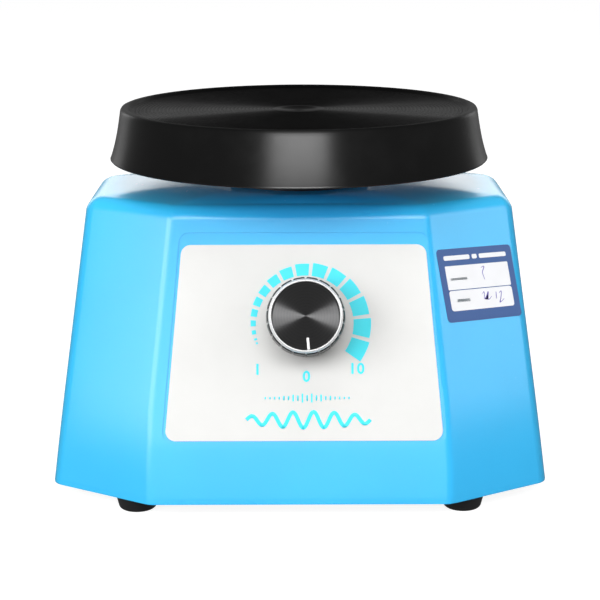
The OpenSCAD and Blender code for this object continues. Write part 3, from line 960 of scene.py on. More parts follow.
@dataclass
class ShellShape:
    """Sizes of the tapered eight-sided shell, in millimetres and degrees."""

    width: float = 165.0
    depth: float = 132.0
    foot: float = 5.0
    height: float = 93.0
    face_width: float = 97.4
    band: float = 20.5
    band_lean: float = 13.0
    panel_lean: float = 16.5
    side_lean: float = 7.0
    face_taper: float = 5.9
    corner_angle: float = 31.3
    edge: float = 6.0
    shoulder: float = 6.0
    crown: float = 2.0
    collar: float = 30.0
    wall: float = 2.5
    stem_hole: float = 14.0
    front_blend: float = 3.0
    corner_blend: float = 13.0

    @property
    def kink(self) -> float:
        """Height of the break between the lower band and the panel."""
        return self.foot + self.band

    @property
    def top(self) -> float:
        """Height of the shoulder edge."""
        return self.foot + self.height

    @property
    def shoulder_z(self) -> float:
        """Height at which the shoulder starts."""
        return self.top - self.shoulder * (1 - math.sin(math.radians(self.panel_lean)))

    def drawn_in(self, z: float, low: float, high: float, blend: float) -> float:
        """How far a wall has moved inwards at a height.

        Args:
            z: the height.
            low: slope under the break.
            high: slope over the break.
            blend: half the height over which one turns into the other.

        Returns:
            The distance inwards.
        """
        over = max(0.0, min(z, self.kink + blend) - (self.kink - blend))
        rest = max(0.0, z - self.kink - blend)
        return low * (z - self.foot) + (high - low) * (over * over / (4 * blend) + rest)

    def sharp_depth(self, z: float) -> float:
        """Half depth at a height, before the break is blended.

        Args:
            z: the height.

        Returns:
            The distance of the front face from the axis.
        """
        band, panel = (math.tan(math.radians(a)) for a in (self.band_lean, self.panel_lean))
        over = max(0.0, z - self.kink)
        return self.depth / 2 - (z - self.foot - over) * band - over * panel

    def sharp_corner(self, z: float) -> float:
        """Distance of a corner face from the axis, before the break is blended.

        Args:
            z: the height.

        Returns:
            The distance along the face's own normal.
        """
        face = self.face_width / 2 - max(0.0, z - self.kink) * math.tan(math.radians(self.face_taper))
        turn = math.radians(self.corner_angle)
        return face * math.sin(turn) + self.sharp_depth(z) * math.cos(turn)

    def planes(self, z: float) -> tuple[float, float, float]:
        """Distances of the faces from the axis at a height.

        Args:
            z: the height.

        Returns:
            The distances of the side, corner and front faces.
        """
        band, panel = (math.tan(math.radians(a)) for a in (self.band_lean, self.panel_lean))
        front = self.depth / 2 - self.drawn_in(z, band, panel, self.front_blend)
        low = (self.sharp_corner(self.foot) - self.sharp_corner(self.kink)) / self.band
        high = (self.sharp_corner(self.kink) - self.sharp_corner(self.top)) / (self.top - self.kink)
        corner = self.sharp_corner(self.foot) - self.drawn_in(z, low, high, self.corner_blend)
        side = self.width / 2 - (z - self.foot) * math.tan(math.radians(self.side_lean))
        return side, corner, front

    def outline(self, z: float, inset: float, arc: int = 7, flat: int = 6) -> list[Vector]:
        """The rounded eight-sided outline at a height.

        Args:
            z: the height that sets the faces' places.
            inset: how far the outline is drawn in.
            arc: divisions of each rounded edge.
            flat: divisions of each face.

        Returns:
            Points in order, from the right-hand side on.
        """
        side, corner, front = self.planes(z)
        turn = 90 - self.corner_angle
        angles = [0, turn, 90, 180 - turn, 180, 180 + turn, 270, 360 - turn]
        offsets = [side, corner, front, corner, side, corner, front, corner]
        normals = [Vector((math.cos(math.radians(a)), math.sin(math.radians(a)))) for a in angles]
        centres = []
        for i in range(8):
            first, second = normals[i], normals[(i + 1) % 8]
            one = offsets[i] - inset - self.edge
            two = offsets[(i + 1) % 8] - inset - self.edge
            cross = first.x * second.y - first.y * second.x
            centres.append(
                Vector((one * second.y - two * first.y, two * first.x - one * second.x)) / cross
            )
        points = []
        for i, centre in enumerate(centres):
            start = angles[i]
            end = angles[(i + 1) % 8] + (360 if i == 7 else 0)
            for k in range(arc + 1):
                a = math.radians(start + (end - start) * k / arc)
                points.append(centre + self.edge * Vector((math.cos(a), math.sin(a))))
            here = points[-1]
            after = centres[(i + 1) % 8] + self.edge * normals[(i + 1) % 8]
            points += [here.lerp(after, k / flat) for k in range(1, flat)]
        return points

    def ring(self, z: float, inset: float = 0.0, lift: float = 0.0) -> list[Vector]:
        """The outline as points in space."""
        return [Vector((p.x, p.y, z + lift)) for p in self.outline(z, inset)]

    def shoulder_rings(self, inset: float, drop: float, steps: int) -> list[list[Vector]]:
        """Rings round the shoulder, from the wall to the top.

        Args:
            inset: how far they are drawn in.
            drop: how far they are let down.
            steps: how many steps the rounding has.

        Returns:
            The rings, in order.
        """
        start = math.radians(self.panel_lean)
        out = []
        for k in range(steps + 1):
            a = start + (math.pi / 2 - start) * k / steps
            lift = self.shoulder * (math.sin(a) - math.sin(start))
            drawn = inset + self.shoulder * (math.cos(start) - math.cos(a))
            out.append(self.ring(self.shoulder_z - drop, drawn, lift))
        return out

    def circle(self, radius: float, z: float) -> list[Vector]:
        """A circle whose points follow those of the outline."""
        outline = self.outline(self.shoulder_z, self.shoulder)
        return [Vector((*(p.normalized() * radius), z)) for p in outline]

    def crown_rings(self, inset: float, drop: float, steps: int) -> list[list[Vector]]:
        """Rings from the shoulder's edge to the collar.

        Args:
            inset: how far the shoulder is drawn in.
            drop: how far they are let down.
            steps: how many rings there are.

        Returns:
            The rings, in order.
        """
        edge = self.shoulder_rings(inset, drop, 1)[-1]
        collar = self.circle(self.collar, self.top + self.crown - drop)
        out = []
        for k in range(1, steps + 1):
            t = k / steps
            rise = 1 - (1 - t) ** 1.6
            out.append([
                Vector((*a.xy.lerp(b.xy, t), a.z + (b.z - a.z) * rise)) for a, b in zip(edge, collar)
            ])
        return out


@dataclass(frozen=True)
class LabelShape:
    """The label's trapezium on the panel and the pocket round it, in millimetres."""

    height: float = 63.4
    top_width: float = 79.0
    foot_width: float = 90.0
    gap: float = -0.3
    corner: float = 3.2
    shift: float = -0.6
    pocket_over: float = 4.0
    pocket_beside: float = 1.0
    pocket_depth: float = 0.3
    seam_width: float = 0.55
    seam_depth: float = 0.5

    def pocket(self, dial_up: float) -> list[Point]:
        """The pocket's outline: the label's own, grown above and at the sides.

        Args:
            dial_up: how far the dial's axis is above the band.

        Returns:
            The outline, about the dial's axis.
        """
        low = self.gap - dial_up - self.pocket_beside / 2
        high = self.gap - dial_up + self.height + self.pocket_over
        slope = (self.foot_width - self.top_width) / 2 / self.height
        foot = self.foot_width / 2 + self.pocket_beside + self.pocket_beside / 2 * slope
        head = self.foot_width / 2 + self.pocket_beside - (high - low) * slope
        corners = [(-foot, low), (foot, low), (head, high), (-head, high)]
        return rounded([(x + self.shift, y) for x, y in corners], [self.corner] * 4, 7)

    def seam(self, dial_up: float) -> Body:
        """The fine groove that runs round the foot of the pocket's wall.

        Args:
            dial_up: how far the dial's axis is above the band.

        Returns:
            A closed ring to cut with.
        """
        outer = self.pocket(dial_up)
        middle = sum((Vector(p) for p in outer), Vector((0, 0))) / len(outer)
        inner = []
        for p in outer:
            out = Vector(p) - middle
            inner.append(tuple(middle + out * (1 - self.seam_width / out.length)))
        low, high = -self.pocket_depth - self.seam_depth, -self.pocket_depth + 0.1
        section = ((outer, low), (outer, high), (inner, high), (inner, low))
        return loft([[Vector((*p, z)) for p in line] for line, z in section], closed=True)


@dataclass
class PanelFrame:
    """A frame on one of the shell's sloping faces."""

    origin: Vector
    turn: float
    lean: float

    def matrix(self) -> Matrix:
        """The frame in millimetres: Z out of the face, Y up along it.

        Returns:
            Its matrix.
        """
        spin = Matrix.Rotation(math.radians(self.turn), 4, "Z")
        tip = Matrix.Rotation(math.radians(90 - self.lean), 4, "X")
        return Matrix.Translation(self.origin) @ spin @ tip

    def in_metres(self) -> Matrix:
        """The same frame in metres.

        Returns:
            Its matrix.
        """
        made = self.matrix()
        made.translation = made.translation * MM
        return made


@dataclass
class Shell:
    """The blue moulded housing with its openings."""

    palette: Palette
    shape: ShellShape = field(default_factory=ShellShape)
    dial_x: float = 2.0
    dial_up: float = 39.6
    label: LabelShape = LabelShape()
    shaft_hole: float = 3.8
    gland_hole: float = 6.05
    fuse_hole: float = 5.55
    gland_x: float = 29.0
    gland_up: float = 8.0
    fuse_x: float = 26.0
    fuse_up: float = 22.0
    vents: int = 7
    vent_pitch: float = 6.5
    vent_width: float = 2.5
    vent_length: float = 22.0
    vent_over: float = 14.0
    cut_walls: float = 3.0

    def face_point(self, x: float, z: float, side: int) -> Vector:
        """A point on the front (-1) or rear (1) face."""
        return Vector((x, side * self.shape.sharp_depth(z), z))

    def panel(self) -> PanelFrame:
        """The frame of the dial panel.

        Returns:
            A frame with its origin on the dial's axis.
        """
        s = self.shape
        z = s.kink + self.dial_up * math.cos(math.radians(s.panel_lean))
        return PanelFrame(self.face_point(self.dial_x, z, -1), 0, s.panel_lean)

    def rear(self, x: float, up: float) -> PanelFrame:
        """A frame on the upper rear face."""
        z = self.shape.kink + up
        return PanelFrame(self.face_point(x, z, 1), 180, self.shape.panel_lean)

    def wall_heights(self) -> list[float]:
        """Heights of the rings up the wall, closer together round the break.

        Returns:
            The heights, in order, from just over the foot to just under the shoulder.
        """
        s = self.shape
        blend, above = 16, 7
        start = s.kink + blend
        middle = [s.kink + d for d in range(-blend, blend + 1)]
        high = [start + (s.shoulder_z - s.kink - blend) * k / above for k in range(1, above)]
        return [s.foot + 0.5, s.foot + 3] + middle + high

    def body(self) -> Body:
        """The shell as one closed surface: outside, stem hole and inside.

        Returns:
            Vertices and faces.
        """
        s = self.shape
        out = [s.ring(s.foot, 0.5), s.ring(s.foot, 0.12, 0.12)]
        out += [s.ring(z) for z in self.wall_heights()]
        out += s.shoulder_rings(0, 0, 9) + s.crown_rings(0, 0, 9)
        top = s.top + s.crown
        out += [s.circle(r, z) for r, z in (
            (s.stem_hole + 1.2, top), (s.stem_hole + 0.35, top - 0.25), (s.stem_hole, top - 0.9),
            (s.stem_hole, top - s.wall),
        )]
        inside = s.shoulder_rings(s.wall, s.wall, 6) + s.crown_rings(s.wall, s.wall, 4)
        out += inside[::-1]
        steps = 14
        rise = s.shoulder_z - s.wall - s.foot
        out += [s.ring(s.foot + rise * (1 - k / steps), s.wall) for k in range(1, steps + 1)]
        return loft(out, closed=True)

    def hole(self, radius: float, high: float, place: PanelFrame) -> Body:
        """A round cutter that goes through a wall.

        Args:
            radius: its radius.
            high: how far it stands off the wall's face.
            place: its frame on that face.

        Returns:
            Vertices and faces.
        """
        low = -self.cut_walls * self.shape.wall
        return moved(lathe([(0, low), (radius, low), (radius, high), (0, high)], 48), place.matrix())

    def openings(self) -> bpy.types.Object:
        """One mesh of everything that is cut out of the shell.

        Returns:
            The cutter.
        """
        panel = self.panel()
        pocket = plate(self.label.pocket(self.dial_up), -self.label.pocket_depth, 3)
        parts = [
            moved(pocket, panel.matrix()),
            moved(self.label.seam(self.dial_up), panel.matrix()),
            self.hole(self.shaft_hole, 0.01 - self.label.pocket_depth, panel),
            self.hole(self.gland_hole, 3, self.rear(-self.gland_x, self.gland_up)),
            self.hole(self.fuse_hole, 3, self.rear(self.fuse_x, self.fuse_up)),
        ]
        half_w, half_l = self.vent_width / 2, self.vent_length / 2
        slot = rounded(rectangle(-half_w, half_w, -half_l, half_l), [half_w * 0.98] * 4, 5)
        cutter = plate(slot, -self.cut_walls * self.shape.wall, 4)
        for i in range(self.vents):
            x = -self.gland_x + (i - (self.vents - 1) / 2) * self.vent_pitch
            parts.append(moved(cutter, self.rear(x, self.fuse_up + self.vent_over).matrix()))
        return piece_from("shell_openings", *merged(*parts))

    def build(self) -> bpy.types.Object:
        """Makes the shell and its screw bosses.

        Returns:
            The shell.
        """
        shell = piece_from("shell", *self.body())
        carve(shell, self.openings())
        for polygon in shell.data.polygons:
            polygon.use_smooth = True
        ease(shell, 0.18, angle=50)
        outfit(shell, "root", self.palette.get(BLUE), ["housing"])
        self.bosses()
        return shell

    def bosses(self) -> None:
        """Four screw bosses inside the shell."""
        low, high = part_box("foot_screws")
        reach = 2.8
        profile = rounded([(1.52, 6.5), (4.5, 6.5), (4.5, 14.5), (1.52, 14.5)], [0, 0, 0.5, 0.2], 3)
        parts = []
        for x in (low.x / MM + reach, high.x / MM - reach):
            for y in (low.y / MM + reach, high.y / MM - reach):
                parts.append(moved(lathe(profile, 40), Matrix.Translation((x, y, 0))))
        bosses = piece_from("shell_bosses", *merged(*parts))
        ease(bosses)
        outfit(bosses, "root", self.palette.get(BLUE))


# ---------------------------------------------------------------- the tray


@dataclass
class Tray:
    """The ribbed black rubber tray that caps the shaking table."""

    palette: Palette
    lip_radius: float = 61.0
    foot_radius: float = 65.0
    lip_width: float = 3.2
    lip_height: float = 1.2
    floor: float = 5.0
    rib_pitch: float = 1.3
    rib_depth: float = 0.28
    first_rib: float = 8.2
    dimple: float = 6.4
    disc_gap: float = 0.3
    screw_pocket: Point = (6.5, 3.4)

    def skirt(self, drop: float, height: float) -> float:
        """The skirt's outer radius: straight at first, then flaring.

        Args:
            drop: the distance below the lip.
            height: the tray's height.

        Returns:
            The radius.
        """
        t = drop / height
        straight = 0.15 * height
        flare = self.foot_radius - self.lip_radius - straight
        return self.lip_radius + straight * t + flare * t ** 3

    def profile(self) -> list[Point]:
        """The tray's section, from the axis under the floor round to the axis on top.

        Returns:
            Radius and height pairs.
        """
        low, high = (corner.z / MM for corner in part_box("tray"))
        height, floor = high - low, high - self.lip_height
        return [
            *self.underside(low), *self.outside(low, height), *self.lip(high, floor),
            *self.ribs(floor), *self.middle(floor),
        ]

    def underside(self, low: float) -> list[Point]:
        """The section from the axis to the skirt's foot, clear of the disc.

        Args:
            low: height of the skirt's foot.

        Returns:
            Radius and height pairs.
        """
        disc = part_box("table_disc")
        reach = disc[1].x / MM + self.disc_gap
        under, bottom = disc[1].z / MM, disc[0].z / MM - 0.5
        radius, deep = self.screw_pocket
        return [
            (0, under + deep), (radius, under + deep), (radius, under),
            (reach - 0.6, under), (reach, under - 0.6), (reach, bottom),
            (self.foot_radius - 3.4, low + 0.5), (self.foot_radius - 2.9, low),
        ]

    def outside(self, low: float, height: float) -> list[Point]:
        """The section up the skirt.

        Args:
            low: height of the skirt's foot.
            height: the tray's height.

        Returns:
            Radius and height pairs.
        """
        edge, steps = 0.8, 16
        foot = self.skirt(height, height)
        points = [(foot - edge - 0.2, low), (foot - 0.45, low + 0.1), (foot - 0.12, low + 0.45)]
        for k in range(steps + 1):
            h = edge + (height - 1.0 - edge) * k / steps
            points.append((self.skirt(height - h, height), low + h))
        return points

    def lip(self, high: float, floor: float) -> list[Point]:
        """The section over the rounded lip and down to the floor.

        Args:
            high: height of the lip.
            floor: height of the floor.

        Returns:
            Radius and height pairs.
        """
        lip = self.lip_radius
        return [
            (lip - 0.05, high - 0.55), (lip - 0.3, high - 0.18), (lip - 0.75, high),
            (lip - 1.9, high), (lip - 2.4, high - 0.15), (lip - 2.9, high - 0.7),
            (lip - self.lip_width - 0.1, floor + 0.08), (lip - self.lip_width - 0.5, floor),
        ]

    def ribs(self, floor: float) -> list[Point]:
        """The section across the floor's rings, each a shallow groove and a land.

        Args:
            floor: height of the floor.

        Returns:
            Radius and height pairs.
        """
        shape = ((0.0, 0.0), (0.12, -0.7), (0.28, -1.0), (0.44, -0.7), (0.56, 0.0))
        points: list[Point] = []
        radius = self.lip_radius - self.lip_width - 1.2
        while radius - self.rib_pitch > self.first_rib:
            points += [(radius - self.rib_pitch * t, floor + self.rib_depth * h) for t, h in shape]
            points.append((radius - self.rib_pitch * 0.78, floor + 0.04))
            radius -= self.rib_pitch
        return points

    def middle(self, floor: float) -> list[Point]:
        """The section of the shallow dimple in the floor's middle.

        Args:
            floor: height of the floor.

        Returns:
            Radius and height pairs.
        """
        edge = self.dimple
        return [
            (edge + 0.5, floor), (edge, floor - 0.03), (edge - 0.5, floor - 0.2),
            (edge - 1.4, floor - 0.38), (edge * 0.5, floor - 0.5), (0, floor - 0.55),
        ]

    def build(self) -> bpy.types.Object:
        """Makes the tray.

        Returns:
            The tray.
        """
        tray = piece_from("rubber_tray", *lathe(self.profile(), 180))
        ease(tray)
        return outfit(tray, "tray", self.palette.get(RUBBER), ["tray"])


# ---------------------------------------------------------------- the dial


@dataclass
class Dial:
    """Knob and markings on the label of the sloping panel."""

    palette: Palette
    shell: Shell
    knob_radius: float = 12.8
    ring_radius: float = 11.85
    ring_width: float = 0.95
    knob_low: float = 1.0
    knob_step: float = 12.5
    knob_high: float = 14.0
    grooves: int = 18
    groove_depth: float = 0.5
    shaft_bore: float = 3.02
    hollow: Point = (7.5, 4.0)
    pointer_rest: float = 4.8
    pointer_width: float = 0.78
    pointer_from: float = 6.9
    label_face: float = 0.1
    ink: float = 0.04
    figure_height: float = 3.5
    bar_count: int = 19
    bar_pitch: float = 1.5

    @property
    def cap_radius(self) -> float:
        """Radius of the spun face, just clear of the ring."""
        return self.ring_radius - self.ring_width - 0.06

    @property
    def cap_top(self) -> float:
        """Height of the spun face, a little under the ring."""
        return self.knob_high - 0.32

    def frame(self) -> Matrix:
        """The panel's frame in metres."""
        return self.shell.panel().in_metres()

    def skirt(self) -> Body:
        """The grooved black skirt, hollow under its middle.

        Returns:
            Vertices and faces.
        """
        steps = self.grooves * 20
        slope = 0.35 / (self.knob_step - self.knob_low)
        heights = [(self.knob_low, -0.25), (self.knob_low + 0.25, 0.0)]
        heights += [(z, -slope * z) for z in (4.0, 7.0, 10.0)]
        heights += [
            (self.knob_step - 0.9, -0.42), (self.knob_step - 0.35, -0.56),
            (self.knob_step, self.ring_radius - self.knob_radius + 0.1),
        ]

        def ring(z: float, radii: Sequence[float]) -> list[Vector]:
            """A ring with one radius per step."""
            angles = (FULL_TURN * k / steps for k in range(steps))
            return [Vector((r * math.cos(a), r * math.sin(a), z)) for r, a in zip(radii, angles)]

        notches = [self.notch(FULL_TURN * k / steps) for k in range(steps)]
        rings = [ring(z, [self.knob_radius + grow - n for n in notches]) for z, grow in heights]
        wide, roof = self.hollow
        bore = self.shaft_bore
        inside = ((bore, self.knob_step), (bore, roof), (wide, roof), (wide, self.knob_low))
        return loft(rings + [ring(z, [radius] * steps) for radius, z in inside], closed=True)

    def notch(self, angle: float) -> float:
        """Depth of the skirt's grip grooves.

        Args:
            angle: where round the knob, in radians.

        Returns:
            The depth, 0 between two grooves.
        """
        half_width = 0.16
        across = abs((angle * self.grooves / math.pi + 1) % 2 - 1)
        if across <= 1 - half_width:
            return 0.0
        return self.groove_depth * max(0.0, 1 - ((1 - across) / half_width) ** 2) ** 0.5

    def part(
        self,
        name: str,
        body: Body,
        finish: Finish,
        slot: str,
        node: str,
        soften: Point = (0.0, 40.0),
        cutter: Optional[Body] = None,
    ) -> None:
        """Makes one piece of the knob.

        Args:
            name: the piece's name.
            body: its vertices and faces in the panel's frame.
            finish: its finish.
            slot: not used.
            node: the CAD node that it replaces.
            soften: width of its eased edges and the angle from which an edge is eased.
            cutter: what is cut out of it, if anything.
        """
        made = piece_from(name, *body, place=self.frame())
        if cutter:
            carve(made, piece_from(name + "_cutter", *cutter, place=self.frame()))
        ease(made, *soften)
        outfit(made, "knob", self.palette.get(finish), [node])

    def pointer(self, low: float, high: float, edge: float = 0.0, margin: float = 0.0) -> Body:
        """The pointer line, or with a margin the groove that it lies in.

        Args:
            low: its underside, from the spun face.
            high: its top, from the spun face.
            edge: size of its eased upper edge.
            margin: how far the groove is wider than the line.

        Returns:
            Vertices and faces.
        """
        half, end = self.pointer_width / 2 + margin, self.cap_radius - 0.15
        beyond = 0.3 if margin else 0.0
        radii = [0, 0, 0.2, 0.2] if margin else [0.1, 0.1, 0.18, 0.18]
        outline = rounded(rectangle(-half, half, -end - beyond, -self.pointer_from + margin), radii, 3)
        rest = Matrix.Rotation(math.radians(self.pointer_rest), 4, "Z")
        return moved(plate(outline, self.cap_top + low, self.cap_top + high, edge), rest)

    def knob(self) -> None:
        """The knob: skirt, bright ring, spun face and pointer."""
        foot = self.knob_step + 0.02
        inner, outer, top = self.ring_radius - self.ring_width, self.ring_radius, self.knob_high
        corners = [
            (inner, foot), (outer, foot), (outer, top - 0.75), (outer - 0.35, top - 0.18),
            (outer - 0.6, top), (inner, top),
        ]
        ring = rounded(corners, [0, 0, 0.2, 0.25, 0.15, 0.12], 4)
        radius, face = self.cap_radius, self.cap_top
        cap = [
            (0, foot), (radius, foot), (radius, face - 0.15), (radius - 0.15, face),
            (radius * 0.66, face - 0.06), (radius * 0.33, face - 0.1), (0, face - 0.12),
        ]
        self.part("knob_skirt", self.skirt(), KNOB_BLACK, "knob_black", "knob_body", (0.08, 60))
        self.part("knob_bezel", lathe(ring, 144), KNOB_RING, "knob_bright", "knob_ring")
        groove = self.pointer(-0.6, 1.0, margin=0.06)
        self.part("knob_disc", lathe(cap, 144), KNOB_FACE, "knob_face", "knob_cap", (0.05, 50), groove)
        line = self.pointer(-0.58, 0.02, edge=0.05)
        self.part("knob_pointer_line", line, POINTER, "white_paint", "knob_pointer")

    def inlay(self, name: str, parts: Sequence[Body]) -> None:
        """Lays flat printed shapes on the label.

        Args:
            name: the piece's name.
            parts: closed flat shapes in the panel's frame.
        """
        made = piece_from(name, *merged(*parts), place=self.frame())
        ease(made)
        outfit(made, "root", self.palette.get(CYAN_INK))

    def bar(self, x: float, y: float, width: float, height: float) -> Body:
        """One rounded bar of ink.

        Args:
            x: its middle across the panel.
            y: its middle up the panel.
            width: its width.
            height: its height.

        Returns:
            Vertices and faces.
        """
        corners = rectangle(x - width / 2, x + width / 2, y - height / 2, y + height / 2)
        outline = rounded(corners, [min(width, height) * 0.45] * 4, 4)
        return plate(outline, self.label_face - 0.02, self.label_face + self.ink)

    def wave(self, x: float, y: float, length: float, swing: float, stroke: float, turns: int) -> Body:
        """A wave line of even stroke, its swing fading at both ends.

        Args:
            x: its middle across the panel.
            y: its middle up the panel.
            length: its length.
            swing: how far it swings up and down.
            stroke: the line's width.
            turns: how many waves it has.

        Returns:
            Vertices and faces.
        """

        def point(t: float) -> Vector:
            """The line's middle at a share of its length."""
            fade = 0.42 + 0.58 * math.sin(math.pi * t)
            return Vector((x + (t - 0.5) * length, y + swing * fade * math.sin(2 * math.pi * turns * t)))

        steps, ahead = turns * 20, 1e-3
        left, right = [], []
        for k in range(steps + 1):
            here = point(k / steps)
            along = (point(k / steps + ahead) - here).normalized()
            side = Vector((-along.y, along.x)) * stroke / 2
            left.append(here + side)
            right.append(here - side)
        vertices, faces = [], []
        for z in (self.label_face - 0.02, self.label_face + self.ink):
            vertices += [(p.x, p.y, z) for p in left] + [(p.x, p.y, z) for p in right]
        n = steps + 1
        for k in range(steps):
            faces += [
                (k, k + 1, n + k + 1, n + k), (2 * n + k, 3 * n + k, 3 * n + k + 1, 2 * n + k + 1),
                (k, 2 * n + k, 2 * n + k + 1, k + 1), (n + k, n + k + 1, 3 * n + k + 1, 3 * n + k),
            ]
        faces += [(0, n, 3 * n, 2 * n), (steps, 2 * n + steps, 3 * n + steps, n + steps)]
        return vertices, faces

    def numeral(self, text: str, x: float, y: float) -> None:
        """A dial number printed on the label.

        Args:
            text: the number.
            x: centre across the panel, from the dial's axis.
            y: centre up the panel.
        """
        curve = bpy.data.curves.new("dial_number_" + text, "FONT")
        curve.body = text
        curve.size = self.figure_height * 1.38 * MM
        curve.align_x = "CENTER"
        curve.align_y = "CENTER"
        curve.extrude = 0.03 * MM
        curve.offset = 0.13 * MM
        curve.space_character = 1.1
        made = in_scene("dial_number_" + text, curve)
        place = Matrix.Translation((x * MM, y * MM, (self.label_face + 0.015) * MM))
        made.matrix_world = self.frame() @ place
        outfit(made, "root", self.palette.get(CYAN_INK))

    def markings(self) -> None:
        """Dial numbers, a wave motif and a row of bars under the knob."""
        for text, x, y in (("1", -15.6, -17.0), ("0", 0.2, -19.3), ("10", 16.4, -16.8)):
            self.numeral(text, x, y)
        bars = []
        half = (self.bar_count - 1) / 2
        for i in range(self.bar_count):
            t = (i - half) / half
            tall = 0.7 + 2.4 * math.exp(-(t * 1.9) ** 2) * (1.0 if i % 2 == 0 else 0.55)
            bars.append(self.bar(0.4 + (i - half) * self.bar_pitch, -26.1, 0.5, tall))
        self.inlay("pulse_bars", bars)
        self.inlay("wave_motif", [self.wave(0.8, -33.1, 40.0, 2.6, 1.25, 6)])

    def build(self) -> None:
        """Makes the dial."""
        self.knob()
        self.markings()


# ---------------------------------------------------------------- the seal


@dataclass
class InspectionSeal:
    """A plain two-line seal on the right corner face, laid on the shell's surface."""

    palette: Palette
    shell: Shell
    width: float = 30.0
    height: float = 24.0
    along: float = 17.9
    up: float = 71.8
    slope: float = -0.05
    lean: float = 0.018
    edge: float = 2.3
    divide: float = -1.6
    words: tuple[float, ...] = (10.4, 2.0, 11.0)
    pen: tuple[tuple[Point, ...], ...] = (
        ((1.6, 5.1), (2.9, 5.4), (1.9, 3.4), (2.4, 1.0)),
        ((0.4, -3.6), (1.2, -2.9), (1.0, -5.3), (2.2, -4.0), (2.9, -3.0), (2.4, -5.6), (4.0, -4.6)),
        ((6.0, -3.2), (5.8, -5.6)),
        ((7.2, -3.8), (8.2, -3.2), (7.6, -5.4), (6.9, -6.9), (8.9, -5.8)),
    )

    def surface(self, u: float, v: float, lift: float) -> Vector:
        """A point on the right corner face, found on the shell's own shape.

        Args:
            u: distance across the face, from its front edge outwards.
            v: distance up the face from the seal's middle height.
            lift: how far the point stands off the face.

        Returns:
            The point in millimetres.
        """
        shape = self.shell.shape
        turn = math.radians(shape.corner_angle)
        z = self.up + v * math.cos(math.radians(shape.panel_lean))
        depth = shape.sharp_depth(self.up)
        _, corner, _ = shape.planes(z)
        _, middle, _ = shape.planes(self.up)
        start_x = (middle - depth * math.cos(turn)) / math.sin(turn)
        along = Vector((math.cos(turn), math.sin(turn)))
        out = Vector((math.sin(turn), -math.cos(turn)))
        base = Vector((start_x, -depth))
        place = (base.dot(along) + u) * along + out * (corner + lift)
        return Vector((place.x, place.y, z))

    def patch(self, outline: Sequence[Point], low: float, high: float) -> Body:
        """A thin patch that follows the face.

        Args:
            outline: its outline in the face's measures.
            low: height of its underside off the face.
            high: height of its top.

        Returns:
            Vertices and faces.
        """
        under = [self.surface(u, v, low) for u, v in outline]
        over = [self.surface(u, v, high) for u, v in outline]
        return loft([under, over])

    def askew(self, x: float, y: float) -> Point:
        """A point of the seal on the face, turned a little as if stuck on by hand."""
        return self.along + x - y * self.lean, y + x * self.slope

    def box(self, left: float, right: float, foot: float, head: float, radius: float) -> list[Point]:
        """A rounded rectangle of the seal.

        Args:
            left: its left side, from the seal's middle.
            right: its right side.
            foot: its lower side.
            head: its upper side.
            radius: the radius of its corners.

        Returns:
            The outline in the face's measures.
        """
        return [self.askew(*p) for p in rounded(rectangle(left, right, foot, head), [radius] * 4, 5)]

    def build(self) -> None:
        """Makes the seal's sheet, fields and lines."""
        w, h = self.width / 2, self.height / 2
        side, divide, gap = w - self.edge, self.divide, 0.14
        self.layer("seal_sheet", SEAL_BLUE, [self.box(-w, w, -h, h, 1.3)], 0.01, 0.12)
        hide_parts("inspection_sticker")
        self.layer("seal_fields", SEAL_WHITE, [
            self.box(-side, side, divide + gap, h - 5.6, 0.35),
            self.box(-side, side, -h + 3.6, divide - gap, 0.9),
        ])
        bars = []
        left = -w + 2.4
        for length in self.words:
            bars.append(self.box(left, left + length, h - 3.75, h - 2.25, 0.5))
            left += length + 0.9
        self.layer("seal_header_bars", SEAL_WHITE, bars)
        self.layer("seal_rules", SEAL_GREY, [
            self.box(-w + 3.8, -w + 10.4, 1.6, 2.4, 0.3), self.box(-w + 5.0, -w + 10.2, -5.6, -4.6, 0.3),
        ])
        self.layer("seal_pen_marks", SEAL_PEN, [self.stroke(line) for line in self.pen], 0.14, 0.18)

    def stroke(self, points: Sequence[Point], width: float = 0.28) -> list[Point]:
        """The outline of one pen stroke through the points given.

        Args:
            points: where the pen goes, from the seal's middle.
            width: the stroke's width.

        Returns:
            A closed outline in the face's measures.
        """
        path = [Vector(p) for p in points]
        smooth = []
        for i in range(len(path) - 1):
            before, after = path[max(i - 1, 0)], path[min(i + 2, len(path) - 1)]
            for k in range(4):
                t = k / 4
                bend = (path[i + 1] - before) * (t * (1 - t) ** 2) - (after - path[i]) * (t * t * (1 - t))
                smooth.append(path[i].lerp(path[i + 1], t * t * (3 - 2 * t)) + bend / 2)
        smooth.append(path[-1])
        left, right = [], []
        for i, here in enumerate(smooth):
            along = smooth[min(i + 1, len(smooth) - 1)] - smooth[max(i - 1, 0)]
            thin = 0.35 + 0.65 * math.sin(math.pi * (i + 0.5) / len(smooth))
            side = Vector((-along.y, along.x)).normalized() * width * thin / 2
            left.append(here + side)
            right.append(here - side)
        return [self.askew(p.x, p.y) for p in left + right[::-1]]

    def layer(
        self,
        name: str,
        finish: PrintedFilm,
        outlines: Sequence[Sequence[Point]],
        low: float = 0.1,
        high: float = 0.15,
    ) -> None:
        """Prints one layer of the seal.

        Args:
            name: the piece's name.
            finish: its finish.
            outlines: its closed outlines.
            low: height of its underside off the face.
            high: height of its top.
        """
        made = piece_from(name, *merged(*(self.patch(outline, low, high) for outline in outlines)))
        ease(made)
        outfit(made, "root", self.palette.get(finish))


# ---------------------------------------------------------------- feet and rear


